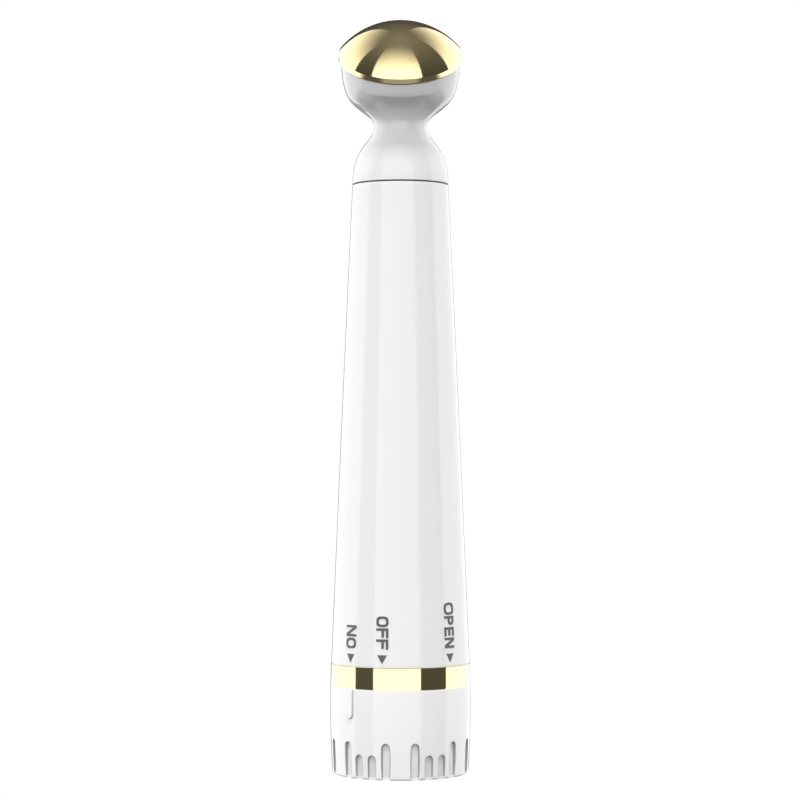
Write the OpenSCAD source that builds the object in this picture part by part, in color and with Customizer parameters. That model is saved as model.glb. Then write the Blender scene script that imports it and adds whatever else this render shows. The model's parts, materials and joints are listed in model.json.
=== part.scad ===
// Heated eye massager wand: a tapered white handle that stands on a round
// battery cap, and carries a small tilted cup with a warm, polished gold dome.
// The cap turns from ON through OFF to OPEN, and then pulls off with the cell.
// Millimetres, +Z up, the origin in the middle of the cap's flat base.
// The dome leans towards -Y, which is the front.

/* [Battery cap] */
// Height of the battery cap, from the base to the seam
cap_h = 19.4; // [18.4:0.1:22]
// Diameter of the cap at its base
cap_foot_d = 24.36; // [24:0.02:24.9]
// Largest diameter of the cap, at its belly
cap_belly_d = 25.14; // [25:0.02:25.6]
// Diameter of the cap at the seam
cap_lip_d = 24.9; // [24.6:0.02:25.1]
// Height of the belly above the base
cap_belly_z = 11.5; // [9:0.1:13]
// Radius of the rounded edge of the base
cap_edge_r = 0.4; // [0.2:0.05:0.8]
// Wall of the outer shell of the cap
cap_wall = 1.65; // [1.5:0.05:1.75]
// Floor of the outer shell of the cap
cap_floor = 1.6; // [1.2:0.1:2]
// Height of the gold ring round the top of the cap
ring_h = 3.8; // [3:0.1:4.6]
// Thickness of the gold ring
ring_t = 0.75; // [0.6:0.05:0.9]

/* [Grip grooves] */
// Groups of grooves round the cap
groove_groups = 6; // [4:1:6]
// Angle between neighbouring grooves of a group
groove_pitch = 12; // [11:0.5:13]
// Width of a groove
groove_w = 1.45; // [1:0.05:1.8]
// Radius of the flat floor of a groove, from the axis of the cap
groove_floor_r = 11.8; // [11.7:0.05:12]
// Height of the outer grooves of a group
groove_long = 6.4; // [5:0.1:8]
// Height of the inner grooves of a group
groove_short = 4.25; // [3:0.1:5]

/* [Position bar] */
// Width of the raised bar that points at ON, OFF and OPEN
bar_w = 1.5; // [1:0.1:2]
// Length of the bar below the gold ring
bar_len = 5.2; // [4:0.1:6]
// Height of the bar above the wall of the cap
bar_proud = 0.3; // [0.2:0.05:0.5]
// Angle of the bar from the front at ON
bar_angle = -45; // [-50:1:-40]

/* [Cap insert] */
// Outer diameter of the spigot that enters the handle
spigot_d = 20.6; // [20.4:0.05:20.8]
// Bore of the insert
insert_bore = 18; // [17.9:0.02:18.1]
// Length of the spigot above the cap
spigot_len = 9.2; // [8:0.1:10]
// Floor of the insert
insert_floor = 1.2; // [1:0.1:1.5]
// Height of the two keys on the spigot
key_h = 3.4; // [2.5:0.1:3.6]
// Angle that each key spans
key_angles = [20, 28];
// Setback of the keys from the side of the spigot
key_inset = 0.1; // [0.05:0.01:0.15]
// Setback of the keys from the bore of the insert
key_step = 0.3; // [0.2:0.05:0.4]
// Section diameter of the seal ring in the spigot's groove
seal_d = 0.84; // [0.7:0.02:0.9]
// Height of the seal's groove above the cap
seal_rise = 3.4; // [2.5:0.1:5]

/* [Handle] */
// Gap of the seam between the cap and the handle
cap_seam = 0.2; // [0.1:0.05:0.3]
// Length of the tapered handle tube
handle_len = 85.7; // [78:0.1:96]
// Diameter of the handle at its foot
handle_foot_d = 24.8; // [24.6:0.02:25]
// Diameter of the handle at its top
handle_top_d = 17.24; // [17:0.02:18]
// Swell of the handle's side beyond a straight cone
handle_crown = 0.07; // [0:0.01:0.15]
// Wall of the handle tube above the mouth
handle_wall = 1.5; // [1.4:0.05:1.6]
// Depth of the ledge that stops the inner frame
ledge_t = 1; // [0.8:0.1:1.5]
// Bore through the ledge
ledge_bore = 19.2; // [18.4:0.1:19.4]
// Width of the rib that keeps the inner frame from turning
rib_w = 1.6; // [1.2:0.1:2]
// Length of the rib
rib_len = 18; // [12:1:20]
// Reach of the rib into the notch of the flange
rib_reach = 1; // [0.8:0.1:1.2]

/* [Switch collar] */
// Height of the collar
collar_h = 4.2; // [4:0.1:4.6]
// Outer diameter of the collar
collar_d = 20.4; // [20.2:0.05:20.5]
// Turn of the cap from ON to OPEN
open_turn = 90; // [60:5:90]
// Angle that the stop lug on the collar spans
lug_angle = 6; // [5:1:8]
// Angle at which the stop lug rests
lug_at = 150; // [140:5:160]
// Thickness of the wire clip under the collar
clip_t = 0.5; // [0.4:0.05:0.6]
// Depth of the clip's groove in the battery tube
clip_groove = 0.35; // [0.25:0.05:0.4]
// How far the clip stands out under the collar
clip_reach = 0.27; // [0.2:0.01:0.3]

/* [Inner frame] */
// Height of the battery tube's mouth above the seam
tube_rise = 0.9; // [0.5:0.1:1.2]
// Wall of the battery tube of the frame
tube_wall = 0.8; // [0.7:0.05:0.85]
// Thickness of the flange that rests under the ledge
flange_t = 1.4; // [1.2:0.1:1.6]
// Thickness of the bulkhead above the cell
bulkhead_t = 1.4; // [1:0.1:1.8]
// Width of the windows in the battery tube
window_w = 7; // [5:0.5:8]
// Height of the windows in the battery tube
window_h = 17; // [12:0.5:18]
// Outer radius of the board tray
tray_r = 7.4; // [7.3:0.05:7.5]
// Wall of the board tray
tray_wall = 1; // [0.8:0.1:1.2]
// Wall of the round seat of the motor
seat_wall = 0.7; // [0.6:0.05:0.8]
// Height of the motor seat
seat_h = 10.1; // [8:0.1:11]
// Thickness of the plate under the motor seat
seat_plate = 1.2; // [1:0.1:1.5]
// Diameter of the hole under the motor, for its leads
motor_hole_d = 4; // [3:0.1:4.4]
// Angle of the gate for the other leads, to each side of the front
gate_angle = 36; // [33:1:40]

/* [Battery and contacts] */
// Diameter of the cell
cell_d = 14.5; // [14:0.05:14.6]
// Length of the cell over its button
cell_len = 50.5; // [49.5:0.1:50.6]
// Diameter of the cell's button
cell_nub_d = 5.5; // [5:0.1:5.8]
// Height of the cell's button
cell_nub_h = 1.1; // [1:0.1:1.4]
// Thickness of the contact strips
strip_t = 0.25; // [0.2:0.01:0.3]
// Angle that the contact strips span
strip_angle = 17; // [14:1:20]
// Angle at which the strips start, from +X
strip_at = -20; // [-22:1:-18]
// Inner end of the negative strip's tab, from the axis
strip_tab_r = 4; // [3:0.1:5]
// Width of the positive contact's tongue
tongue_w = 3; // [2.4:0.1:3.2]
// Lap of the tongue on the board
tongue_lap = 2.4; // [2:0.1:2.5]
// Rim of the positive contact beyond the cell's button
contact_rim = 0.8; // [0.5:0.1:1]
// Wire diameter of the battery spring
spring_wire = 0.7; // [0.5:0.05:0.8]
// Height of the battery spring under the cell
spring_h = 5.45; // [5.2:0.05:6.5]
// Coil radius of the spring at its foot
spring_foot_r = 5.6; // [5:0.1:6.2]
// Coil radius of the spring under the cell
spring_head_r = 2.8; // [2.4:0.1:3.4]
// Turns of the spring
spring_turns = 3.5; // [2.5:0.5:3.5]

/* [Circuit board] */
// Width of the board
board_w = 14; // [13.4:0.1:14.2]
// Length of the board
board_len = 18; // [17:0.5:24]
// Thickness of the board
board_t = 1; // [0.8:0.1:1.2]
// Distance of the board's back from the axis
board_back = 0.6; // [0.4:0.1:0.8]
// Gap under the board, over the bulkhead
board_gap = 1.2; // [0.8:0.1:1.6]
// Distance of the chip and of the inductor from the middle of the board
part_x = 3.7; // [3.4:0.1:3.9]
// Side of the control chip
chip_w = 5; // [4:0.1:5.4]
// Height of the control chip
chip_h = 1.2; // [0.8:0.1:1.4]
// Side of the inductor
coil_w = 5.4; // [5:0.1:5.6]
// Height of the inductor
coil_h = 2.8; // [2:0.1:3.2]
// Diameter of the screws' heads
screw_head_d = 2.4; // [2:0.1:2.8]
// Diameter of the screws' shanks
screw_d = 1.2; // [1:0.05:1.4]
// Length of the screws' shanks
screw_len = 4; // [3.4:0.1:4.2]
// Distance of the screws from the ends of the board
screw_inset = 4; // [3.8:0.1:4.2]

/* [Leads] */
// Diameter of the heater's and the motor's leads
lead_d = 0.7; // [0.5:0.05:0.75]
// Diameter of the sensor's leads
sensor_lead_d = 0.45; // [0.35:0.05:0.5]
// Length of a lead that lies on the board
lead_tail = 2; // [1.6:0.1:2.4]
// Distance of the heater's leads from the middle of the board
heater_lead_x = 1.6; // [1.5:0.05:1.7]
// Distance of the motor's leads from the middle of the board
motor_lead_x = 2.6; // [2.5:0.05:2.7]
// Distance of the sensor's leads from the middle of the board
sensor_lead_x = 3.8; // [3.5:0.05:3.9]
// Half the gap between the motor's leads where they enter the motor
motor_lead_gap = 1; // [0.6:0.1:1.3]
// Angle of the heater's leads beside the motor, from the front
heater_lane_at = 11; // [9:1:13]
// Angle of the sensor's leads beside the motor, from the front
sensor_lane_at = 28; // [25:1:30]

/* [Vibration motor] */
// Diameter of the motor
motor_d = 7; // [6.6:0.1:7.2]
// Length of the motor with its end cap
motor_len = 12; // [11.4:0.1:12.2]
// Thickness of the motor's end cap
motor_cap_t = 1.2; // [1:0.1:1.5]
// Wall of the rubber sleeve round the motor
sleeve_wall = 0.75; // [0.6:0.05:0.8]
// Distance of the motor seat below the top of the handle
seat_drop = 15.4; // [15:0.1:15.8]
// Diameter of the motor shaft
shaft_d = 1; // [0.8:0.05:1.2]
// Shaft that stands out of the motor
shaft_out = 5.8; // [5.4:0.1:6]
// Radius of the eccentric weight
weight_r = 3; // [2.6:0.1:3.2]
// Length of the eccentric weight
weight_len = 4; // [3:0.1:4.2]

/* [Neck and cup] */
// Thickness of the dark gasket in the top seam
gasket_t = 0.4; // [0.3:0.05:0.6]
// Setback of the gasket from the side of the handle
gasket_inset = 0.23; // [0.1:0.01:0.4]
// Diameter of the shoulder at the seam
shoulder_d = 17.2; // [17:0.02:17.8]
// Height of the shoulder, from the seam to the waist
shoulder_h = 10.3; // [9.5:0.1:12]
// Diameter of the waist
waist_d = 9.36; // [9:0.02:10.4]
// Length of the spigot of the neck inside the handle
neck_plug_len = 6.3; // [5:0.1:7]
// Wall of the neck's spigot
neck_plug_wall = 1.1; // [0.9:0.05:1.2]
// Wall of the neck housing
neck_wall = 1.4; // [1.2:0.05:1.5]
// Rise from the waist to the middle of the cup's rim
cup_rise = 11.5; // [11:0.1:13]
// Straight length of the neck above the waist, before it bends
neck_straight = 2.4; // [1.5:0.1:3]
// Lean of the head towards the front
head_tilt = 32.5; // [20:0.5:36]
// Diameter of the cup at its rim
cup_d = 21.16; // [20.9:0.02:21.4]
// Diameter of the cup where its flare is steepest
flare_d = 14.9; // [14:0.1:15.6]
// Height of that place above the waist, along the neck
flare_l = 3; // [2.8:0.1:3.6]
// Slope of the flare there
flare_slope = 39; // [34:1:44]

/* [Head] */
// Diameter of the gold dome
dome_d = 22.1; // [22:0.02:22.6]
// Height of the upright rim of the dome
dome_rim_h = 0.93; // [0.7:0.01:1.2]
// Radius of the rounded corner between the rim and the dome
dome_edge_r = 0.2; // [0.1:0.02:0.3]
// Radius of the ball that the dome is cut from
dome_ball_r = 14.23; // [13.7:0.01:16]
// Wall of the dome
dome_wall = 0.9; // [0.7:0.05:1]
// Outer diameter of the dome's skirt
skirt_d = 17.4; // [17.2:0.02:17.5]
// Wall of the skirt
skirt_wall = 0.8; // [0.6:0.05:0.9]
// Depth of the skirt below the rim of the cup
skirt_len = 2.4; // [2:0.1:3]
// Thickness of the dark seal under the dome
seal_t = 0.3; // [0.2:0.02:0.4]
// Wall of the seal's lip inside the cup
seal_lip_t = 0.2; // [0.15:0.01:0.22]
// Depth of the seal's lip
seal_lip_len = 1.2; // [0.8:0.1:1.6]
// Width of the heater film
heater_d = 13; // [11:0.1:14]
// Thickness of the heater film
heater_t = 0.3; // [0.2:0.05:0.4]
// Depth of the foam pad below the rim of the cup
foam_depth = 1; // [0.6:0.1:1.2]
// Diameter of the lead hole through the foam pad
foam_hole_d = 4.4; // [4:0.1:5]
// Height of the lock ring under the foam pad
lock_h = 1.1; // [0.8:0.1:1.2]
// Bore of the lock ring
lock_bore = 9; // [7:0.1:10]
// Diameter of the temperature sensor's bead
bead_d = 1.3; // [1:0.05:1.5]

/* [Fits] */
// Clearance of a part that turns or slides, on the radius
run_fit = 0.08; // [0.05:0.01:0.1]
// Clearance of a part that stays put
seat_fit = 0.05; // [0.02:0.01:0.08]
// Clearance of a part that is pressed in
close_fit = 0.02; // [0.01:0.01:0.03]
// Clearance round the cell, on the radius
cell_fit = 0.25; // [0.2:0.01:0.3]
// Clearance of a lead or strip through an opening
pass_fit = 0.3; // [0.2:0.05:0.4]
// Clearance round the foam pad, and of the leads beside the motor seat
soft_fit = 0.12; // [0.08:0.01:0.15]

/* [Hidden] */
$fn = 96;

// Heights of the cap's inner parts, from the base up
insert_z = cap_floor + seat_fit;
plate_z = insert_z + insert_floor;
spring_z = plate_z + strip_t;
cell_z = spring_z + spring_h;
cell_top = cell_z + cell_len;
ring_z = cap_h - ring_h;
spigot_top = cap_h + spigot_len;
seal_z = cap_h + seal_rise;

// Heights of the handle, the neck and the head
handle_z = cap_h + cap_seam;
handle_top = handle_z + handle_len;
neck_z = handle_top + gasket_t;
waist_z = neck_z + shoulder_h;

// Turning parts in the mouth of the handle
mouth_r = spigot_d / 2 + run_fit;
tube_bore_r = cell_d / 2 + cell_fit;
tube_r = tube_bore_r + tube_wall;
collar_bore_r = tube_r + run_fit;
collar_z = spigot_top + seat_fit + strip_t;
collar_top = collar_z + collar_h;
clip_groove_r = tube_r - clip_groove;
clip_r = collar_bore_r + clip_reach;
clip_z = collar_z - seat_fit - clip_t;
flange_z = collar_top + seat_fit + 2 * strip_t;
flange_top = flange_z + flange_t;
ledge_z = flange_top + seat_fit;
key_r1 = insert_bore / 2 + key_step;
key_r2 = spigot_d / 2 - key_inset;
cap_strip_r = insert_bore / 2 - seat_fit - strip_t;
frame_strip_r = tube_r + seat_fit;
wiper_r = collar_d / 2 - strip_t;

// Inner frame, board and motor
contact_z = cell_top + 2 * seat_fit;
bulkhead_z = contact_z + strip_t + seat_fit;
bulkhead_top = bulkhead_z + bulkhead_t;
board_z = bulkhead_top + board_gap;
board_top = board_z + board_len;
board_mid = board_z + board_len / 2;
board_front = board_back - board_t;
seat_z = handle_top - seat_drop;
seat_floor = seat_z + seat_plate;
sleeve_r = motor_d / 2 + sleeve_wall;
seat_r = sleeve_r + seat_fit + seat_wall;
sleeve_floor = 0.6;
motor_z = seat_floor + seat_fit + sleeve_floor;
motor_top = motor_z + motor_len;
motor_boss_r = 1.5;
motor_boss_h = 0.7;
shaft_z = motor_z + motor_len * 0.4;
weight_z = motor_top + motor_boss_h + run_fit;
weight_top = weight_z + weight_len;
lead_lane_r = seat_r + lead_d / 2 + soft_fit;

// Neck and head
plug_r = handle_r(handle_top) - handle_wall - seat_fit;
plug_bore_r = plug_r - neck_plug_wall;
bend_r = (cup_rise - neck_straight) / sin(head_tilt);
spine_len = neck_straight + bend_r * head_tilt * PI / 180;
dome_z = seal_t;
dome_knee_z = dome_z + dome_rim_h;
dome_knee_r = dome_d / 2 - dome_edge_r;
dome_centre_z = dome_knee_z - sqrt(pow(dome_ball_r - dome_edge_r, 2) - pow(dome_knee_r, 2));
dome_in_r = dome_ball_r - dome_wall;
film_r = dome_in_r - seat_fit;
film_back_r = film_r - heater_t;
foam_r = skirt_d / 2 - skirt_wall - soft_fit;

// Free ways of the leads: [x, y] beside the weight, below the waist and above it, and
// then [x, y, z] in the head's frame, inside the cup
heater_way = [[1, -4.2], [0.9, -1.2], [0.9, -0.6]];
heater_head_way = [[0.95, 0, -5], [1, 0, -1]];
sensor_way = [[2.4, -3.6], [0.9, 0.8], [0.5, 1]];
sensor_head_way = [[0.4, 1.2, -5], [0.35, 0.5, -1]];
lead_bend = 1.2;
waist_reach = 2;

// ---------- shared shapes ----------

function mix(a, b, t) = a + (b - a) * t;

// Point at t on the cubic curve with the four corners p
function curve(p, t) = pow(1 - t, 3) * p[0] + 3 * pow(1 - t, 2) * t * p[1]
    + 3 * (1 - t) * t * t * p[2] + pow(t, 3) * p[3];

// Radius of the cap's wall at height z: two shallow arches that meet at the belly
function cap_r(z) = z < cap_belly_z
    ? (cap_belly_d - (cap_belly_d - cap_foot_d) * pow(1 - z / cap_belly_z, 2)) / 2
    : (cap_belly_d - (cap_belly_d - cap_lip_d)
        * pow((z - cap_belly_z) / (cap_h - cap_belly_z), 2)) / 2;

// Radius of the handle's wall at height z: a cone with a slight swell
function handle_r(z) = let (t = (z - handle_z) / handle_len)
    mix(handle_foot_d, handle_top_d, t) / 2 + handle_crown * 4 * t * (1 - t);

// Steps from a to b in n parts
function steps(a, b, n) = [for (i = [0 : n]) mix(a, b, i / n)];

// Part of a ring between two radii, two heights and two angles
module sector(r1, r2, z1, z2, a1, a2) {
    rotate([0, 0, a1])
        rotate_extrude(angle = a2 - a1)
            translate([r1, z1])
                square([r2 - r1, z2 - z1]);
}

// Full ring between two radii and two heights
module ring(r1, r2, z1, z2) {
    translate([0, 0, z1])
        difference() {
            cylinder(r = r2, h = z2 - z1);
            translate([0, 0, -1])
                cylinder(r = r1, h = z2 - z1 + 2);
        }
}

// Upright slot with a round top, cut or raised on the front of a round wall
module slot_bar(w, z1, z2, r1, r2, round_top) {
    rotate([90, 0, 0])
        translate([0, 0, r1])
            linear_extrude(r2 - r1) {
                translate([-w / 2, round_top ? z1 : z1 + w / 2])
                    square([w, z2 - z1 - w / 2]);
                translate([0, round_top ? z2 - w / 2 : z1 + w / 2])
                    circle(d = w);
            }
}

// Places its children in the head's frame: +Z out through the dome
module in_head() {
    translate([0, spine(spine_len)[0], spine(spine_len)[1]])
        rotate([head_tilt, 0, 0])
            children();
}

// Point in the model for a point in the head's frame
function head_point(x, v, w) = [x,
    spine(spine_len)[0] + v * cos(head_tilt) - w * sin(head_tilt),
    spine(spine_len)[1] + v * sin(head_tilt) + w * cos(head_tilt)];

// Point at t between b and c on the smooth curve through a, b, c and d
function smooth(a, b, c, d, t) = 0.5 * ((2 * b) + (c - a) * t
    + (2 * a - 5 * b + 4 * c - d) * t * t + (3 * b - a - 3 * c + d) * pow(t, 3));

// A route through the points p, with n steps from each to the next
function route(p, n) = [for (i = [0 : len(p) - 2]) for (k = [0 : n - 1])
    smooth(p[max(i - 1, 0)], p[i], p[i + 1], p[min(i + 2, len(p) - 1)], k / n),
    p[len(p) - 1]];

function unit(v) = v / norm(v);

// Direction of the route q at its point i
function heading(q, i) = unit(q[min(i + 1, len(q) - 1)] - q[max(i - 1, 0)]);

// Round tube of radius r along the route q; side is square to the route's plane
module tube(q, r, side, n = 8) {
    points = [for (i = [0 : len(q) - 1])
        let (t = heading(q, i), u = unit(cross(t, side)), v = cross(t, u))
            for (k = [0 : n - 1]) q[i] + r * (cos(360 * k / n) * u + sin(360 * k / n) * v)];
    last = (len(q) - 1) * n;
    walls = [for (i = [0 : len(q) - 2]) for (k = [0 : n - 1])
        let (a = i * n + k, b = i * n + (k + 1) % n)
            each [[a, a + n, b + n], [a, b + n, b]]];
    foot = [for (k = [1 : n - 2]) [0, k, k + 1]];
    head = [for (k = [1 : n - 2]) [last, last + k + 1, last + k]];
    polyhedron(points, concat(walls, foot, head));
}

// ---------- battery cap ----------

// Outline of the cap's side, from the base edge to height top
function cap_side(top) = concat(
    [for (a = steps(0, 90, 4)) [cap_r(cap_edge_r) - cap_edge_r * (1 - sin(a)),
        cap_edge_r * (1 - cos(a))]],
    [for (z = steps(cap_edge_r, top, 9)) if (z > cap_edge_r) [cap_r(z), z]]);

module cap_grooves() {
    // four to a group, long, short, short, long; a bare place between the groups
    for (g = [0 : groove_groups - 1], k = [0 : 3])
        rotate([0, 0, 360 * g / groove_groups + groove_pitch * (k + 1)])
            slot_bar(groove_w, -1, k == 0 || k == 3 ? groove_long : groove_short,
                groove_floor_r, cap_belly_d / 2 + 1, true);
}

module cap_shell() {
    ring_seat_r = cap_lip_d / 2 - ring_t - seat_fit;
    bore_r = cap_r(ring_z) - cap_wall;
    color("white") {
        difference() {
            rotate_extrude()
                polygon(concat([[0, 0]], cap_side(ring_z),
                    [[ring_seat_r, ring_z], [ring_seat_r, cap_h], [0, cap_h]]));
            translate([0, 0, cap_floor])
                cylinder(r = bore_r, h = cap_h);
            cap_grooves();
        }
        rotate([0, 0, bar_angle])
            slot_bar(bar_w, ring_z - bar_len, ring_z, cap_r(ring_z) - 0.6,
                cap_belly_d / 2 + bar_proud, false);
    }
}

module gold_ring() {
    bevel = 0.2;
    z1 = ring_z + seat_fit;
    color("gold")
        rotate_extrude()
            polygon(concat([[cap_lip_d / 2 - ring_t, z1], [cap_r(z1) - bevel, z1]],
                [for (z = steps(z1 + bevel, cap_h - bevel / 2, 4)) [cap_r(z), z]],
                [[cap_r(cap_h) - bevel / 2, cap_h], [cap_lip_d / 2 - ring_t, cap_h]]));
}

module cap_insert() {
    notch = 1;
    color("gainsboro") {
        difference() {
            translate([0, 0, insert_z])
                cylinder(d = spigot_d, h = spigot_top - insert_z);
            translate([0, 0, plate_z])
                cylinder(d = insert_bore, h = spigot_top);
            // the groove leaves the seal ring just inside the handle's bore
            ring(spigot_d / 2 - seal_d - seat_fit, spigot_d, seal_z, seal_z + seal_d + 2 * seat_fit);
            sector(cap_strip_r, spigot_d, spigot_top - strip_t - seat_fit, spigot_top + 1,
                strip_at - notch, strip_at + strip_angle + notch);
        }
        // two keys of unequal width turn the collar, so that the cap goes in one way only
        for (i = [0, 1])
            sector(key_r1, key_r2, spigot_top - 1, spigot_top + key_h,
                90 + 180 * i - key_angles[i] / 2, 90 + 180 * i + key_angles[i] / 2);
    }
}

module cap_seal() {
    color("dimgray")
        rotate_extrude()
            translate([(spigot_d - seal_d) / 2, seal_z + seat_fit + seal_d / 2])
                circle(d = seal_d, $fn = 24);
}

module cap_contact() {
    // plate under the spring, and a strip up the wall that turns out over the spigot
    color("silver") {
        translate([0, 0, plate_z])
            cylinder(r = cap_strip_r + strip_t, h = strip_t);
        sector(cap_strip_r, cap_strip_r + strip_t, plate_z, spigot_top,
            strip_at, strip_at + strip_angle);
        sector(cap_strip_r, key_r2, spigot_top - strip_t, spigot_top,
            strip_at, strip_at + strip_angle);
    }
}

// Conical coil that stands on the plate and narrows towards the cell
function spring_route() =
    let (rise = spring_h - 2 * spring_wire, n = round(spring_turns * 8))
    concat(
        [[spring_foot_r, 0, 0]],
        [for (i = [0 : n])
            let (t = i / n, a = 360 * spring_turns * t, r = mix(spring_foot_r, spring_head_r, t))
                [r * cos(a), r * sin(a), spring_wire + rise * t]],
        [let (a = 360 * spring_turns)
            [spring_head_r * cos(a), spring_head_r * sin(a), spring_h]]);

// Tube along the spring's route: its rings stand upright round the coil, and the
// two end rings lie flat, square to the plate and to the cell
module coil_tube(q, r, n = 6) {
    points = [for (i = [0 : len(q) - 1])
        let (end = i == 0 || i == len(q) - 1,
            out = unit([q[i][0], q[i][1], 0]),
            turn = cross([0, 0, 1], out),
            up = end ? (i == 0 ? -turn : turn) : [0, 0, 1],
            lift = end ? up : (i == 1 ? unit([0, 0, 1] - turn) : i == len(q) - 2
                ? unit([0, 0, 1] + turn) : up))
            for (k = [0 : n - 1]) q[i] + r * (cos(360 * k / n) * out + sin(360 * k / n) * lift)];
    last = (len(q) - 1) * n;
    walls = [for (i = [0 : len(q) - 2]) for (k = [0 : n - 1])
        let (a = i * n + k, b = i * n + (k + 1) % n)
            each [[a, b + n, a + n], [a, b, b + n]]];
    foot = [for (k = [1 : n - 2]) [0, k + 1, k]];
    head = [for (k = [1 : n - 2]) [last, last + k, last + k + 1]];
    polyhedron(points, concat(walls, foot, head));
}

// Least gap of the coil to itself, between points more than half a turn apart
spring_points = spring_route();
spring_gap = min([for (i = [1 : len(spring_points) - 2], j = [1 : len(spring_points) - 2])
    if (j > i + 4) norm(spring_points[i] - spring_points[j])]) - spring_wire;
echo(spring_gap = spring_gap);

module battery_spring() {
    color("silver")
        translate([0, 0, spring_z])
            coil_tube(spring_points, spring_wire / 2);
}

module battery_cell() {
    crimp = 0.5;
    shoulder_z = cell_len - cell_nub_h;
    color("steelblue")
        translate([0, 0, cell_z])
            rotate_extrude()
                polygon([[0, 0], [cell_d / 2 - crimp, 0], [cell_d / 2, crimp],
                    [cell_d / 2, shoulder_z - crimp], [cell_d / 2 - crimp, shoulder_z],
                    [cell_nub_d / 2, shoulder_z], [cell_nub_d / 2, cell_len - 0.2],
                    [cell_nub_d / 2 - 0.2, cell_len], [0, cell_len]]);
}

// ---------- switch collar ----------

module switch_collar() {
    lug_r2 = collar_d / 2 - 0.3;
    slot_play = 1.5;
    notch = 1;
    color("lightgray")
        difference() {
            union() {
                ring(collar_bore_r, collar_d / 2, collar_z, collar_top);
                // the stop lug runs in the open notch of the frame's flange
                sector(key_r1, lug_r2, collar_top - 1, flange_z + flange_t - 0.4,
                    lug_at, lug_at + lug_angle);
            }
            for (i = [0, 1])
                sector(key_r1 - 0.1, collar_d, collar_z - 1, spigot_top + key_h + 0.3,
                    90 + 180 * i - (key_angles[i] + slot_play) / 2,
                    90 + 180 * i + (key_angles[i] + slot_play) / 2);
            sector(wiper_r - seat_fit, collar_d, collar_z - 1, collar_top + 1,
                strip_at - notch, strip_at + strip_angle + notch);
        }
}

module collar_wiper() {
    // bent round the collar's edge: it meets the cap's strip below and, at ON, the pad above
    color("darkgoldenrod") {
        sector(key_r1, wiper_r + strip_t, collar_z - strip_t, collar_z,
            strip_at, strip_at + strip_angle);
        sector(wiper_r, wiper_r + strip_t, collar_z - strip_t, collar_top + strip_t,
            strip_at, strip_at + strip_angle);
        sector(key_r1, wiper_r + strip_t, collar_top, collar_top + strip_t,
            strip_at, strip_at + strip_angle);
    }
}

module collar_clip() {
    // open wire clip in the groove of the battery tube, which keeps the collar up
    gap_angle = 40;
    color("silver")
        sector(clip_groove_r + close_fit, clip_r, clip_z, clip_z + clip_t,
            90 + gap_angle / 2, 450 - gap_angle / 2);
}

// ---------- handle ----------

module main_body() {
    inner_z = ledge_z + ledge_t;
    color("white") {
        difference() {
            rotate_extrude()
                polygon(concat([[0, handle_z]],
                    [for (z = steps(handle_z, handle_top, 12)) [handle_r(z), z]],
                    [[0, handle_top]]));
            // straight bore for the cap's spigot and the collar, up to the ledge
            translate([0, 0, handle_z - 1])
                cylinder(r = mouth_r, h = ledge_z - handle_z + 1);
            translate([0, 0, ledge_z - 1])
                cylinder(d = ledge_bore, h = ledge_t + 2);
            // tapered bore above the ledge
            rotate_extrude()
                polygon(concat([[0, inner_z]],
                    [for (z = steps(inner_z, handle_top, 6)) [handle_r(z) - handle_wall, z]],
                    [[handle_r(handle_top) - handle_wall, handle_top + 1], [0, handle_top + 1]]));
        }
        // rib that keeps the inner frame from turning
        intersection() {
            translate([-rib_w / 2, tube_r + pass_fit, ledge_z - rib_reach])
                cube([rib_w, handle_foot_d / 2 - tube_r, rib_len]);
            cylinder(r = handle_r(ledge_z + rib_len) - handle_wall / 2, h = handle_top);
        }
    }
}

module seam_gasket() {
    color("dimgray")
        ring(plug_r + seat_fit, handle_r(handle_top) - gasket_inset, handle_top, neck_z);
}

// ---------- inner frame ----------

module oblong_window(z) {
    reach = tube_r + 2;
    end_r = window_w / 2;
    for (s = [-1, 1])
        translate([0, reach, z + s * (window_h / 2 - end_r)])
            rotate([90, 0, 0])
                cylinder(r = end_r, h = 2 * reach);
    translate([-end_r, -reach, z - window_h / 2 + end_r])
        cube([window_w, 2 * reach, window_h - window_w]);
}

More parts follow.
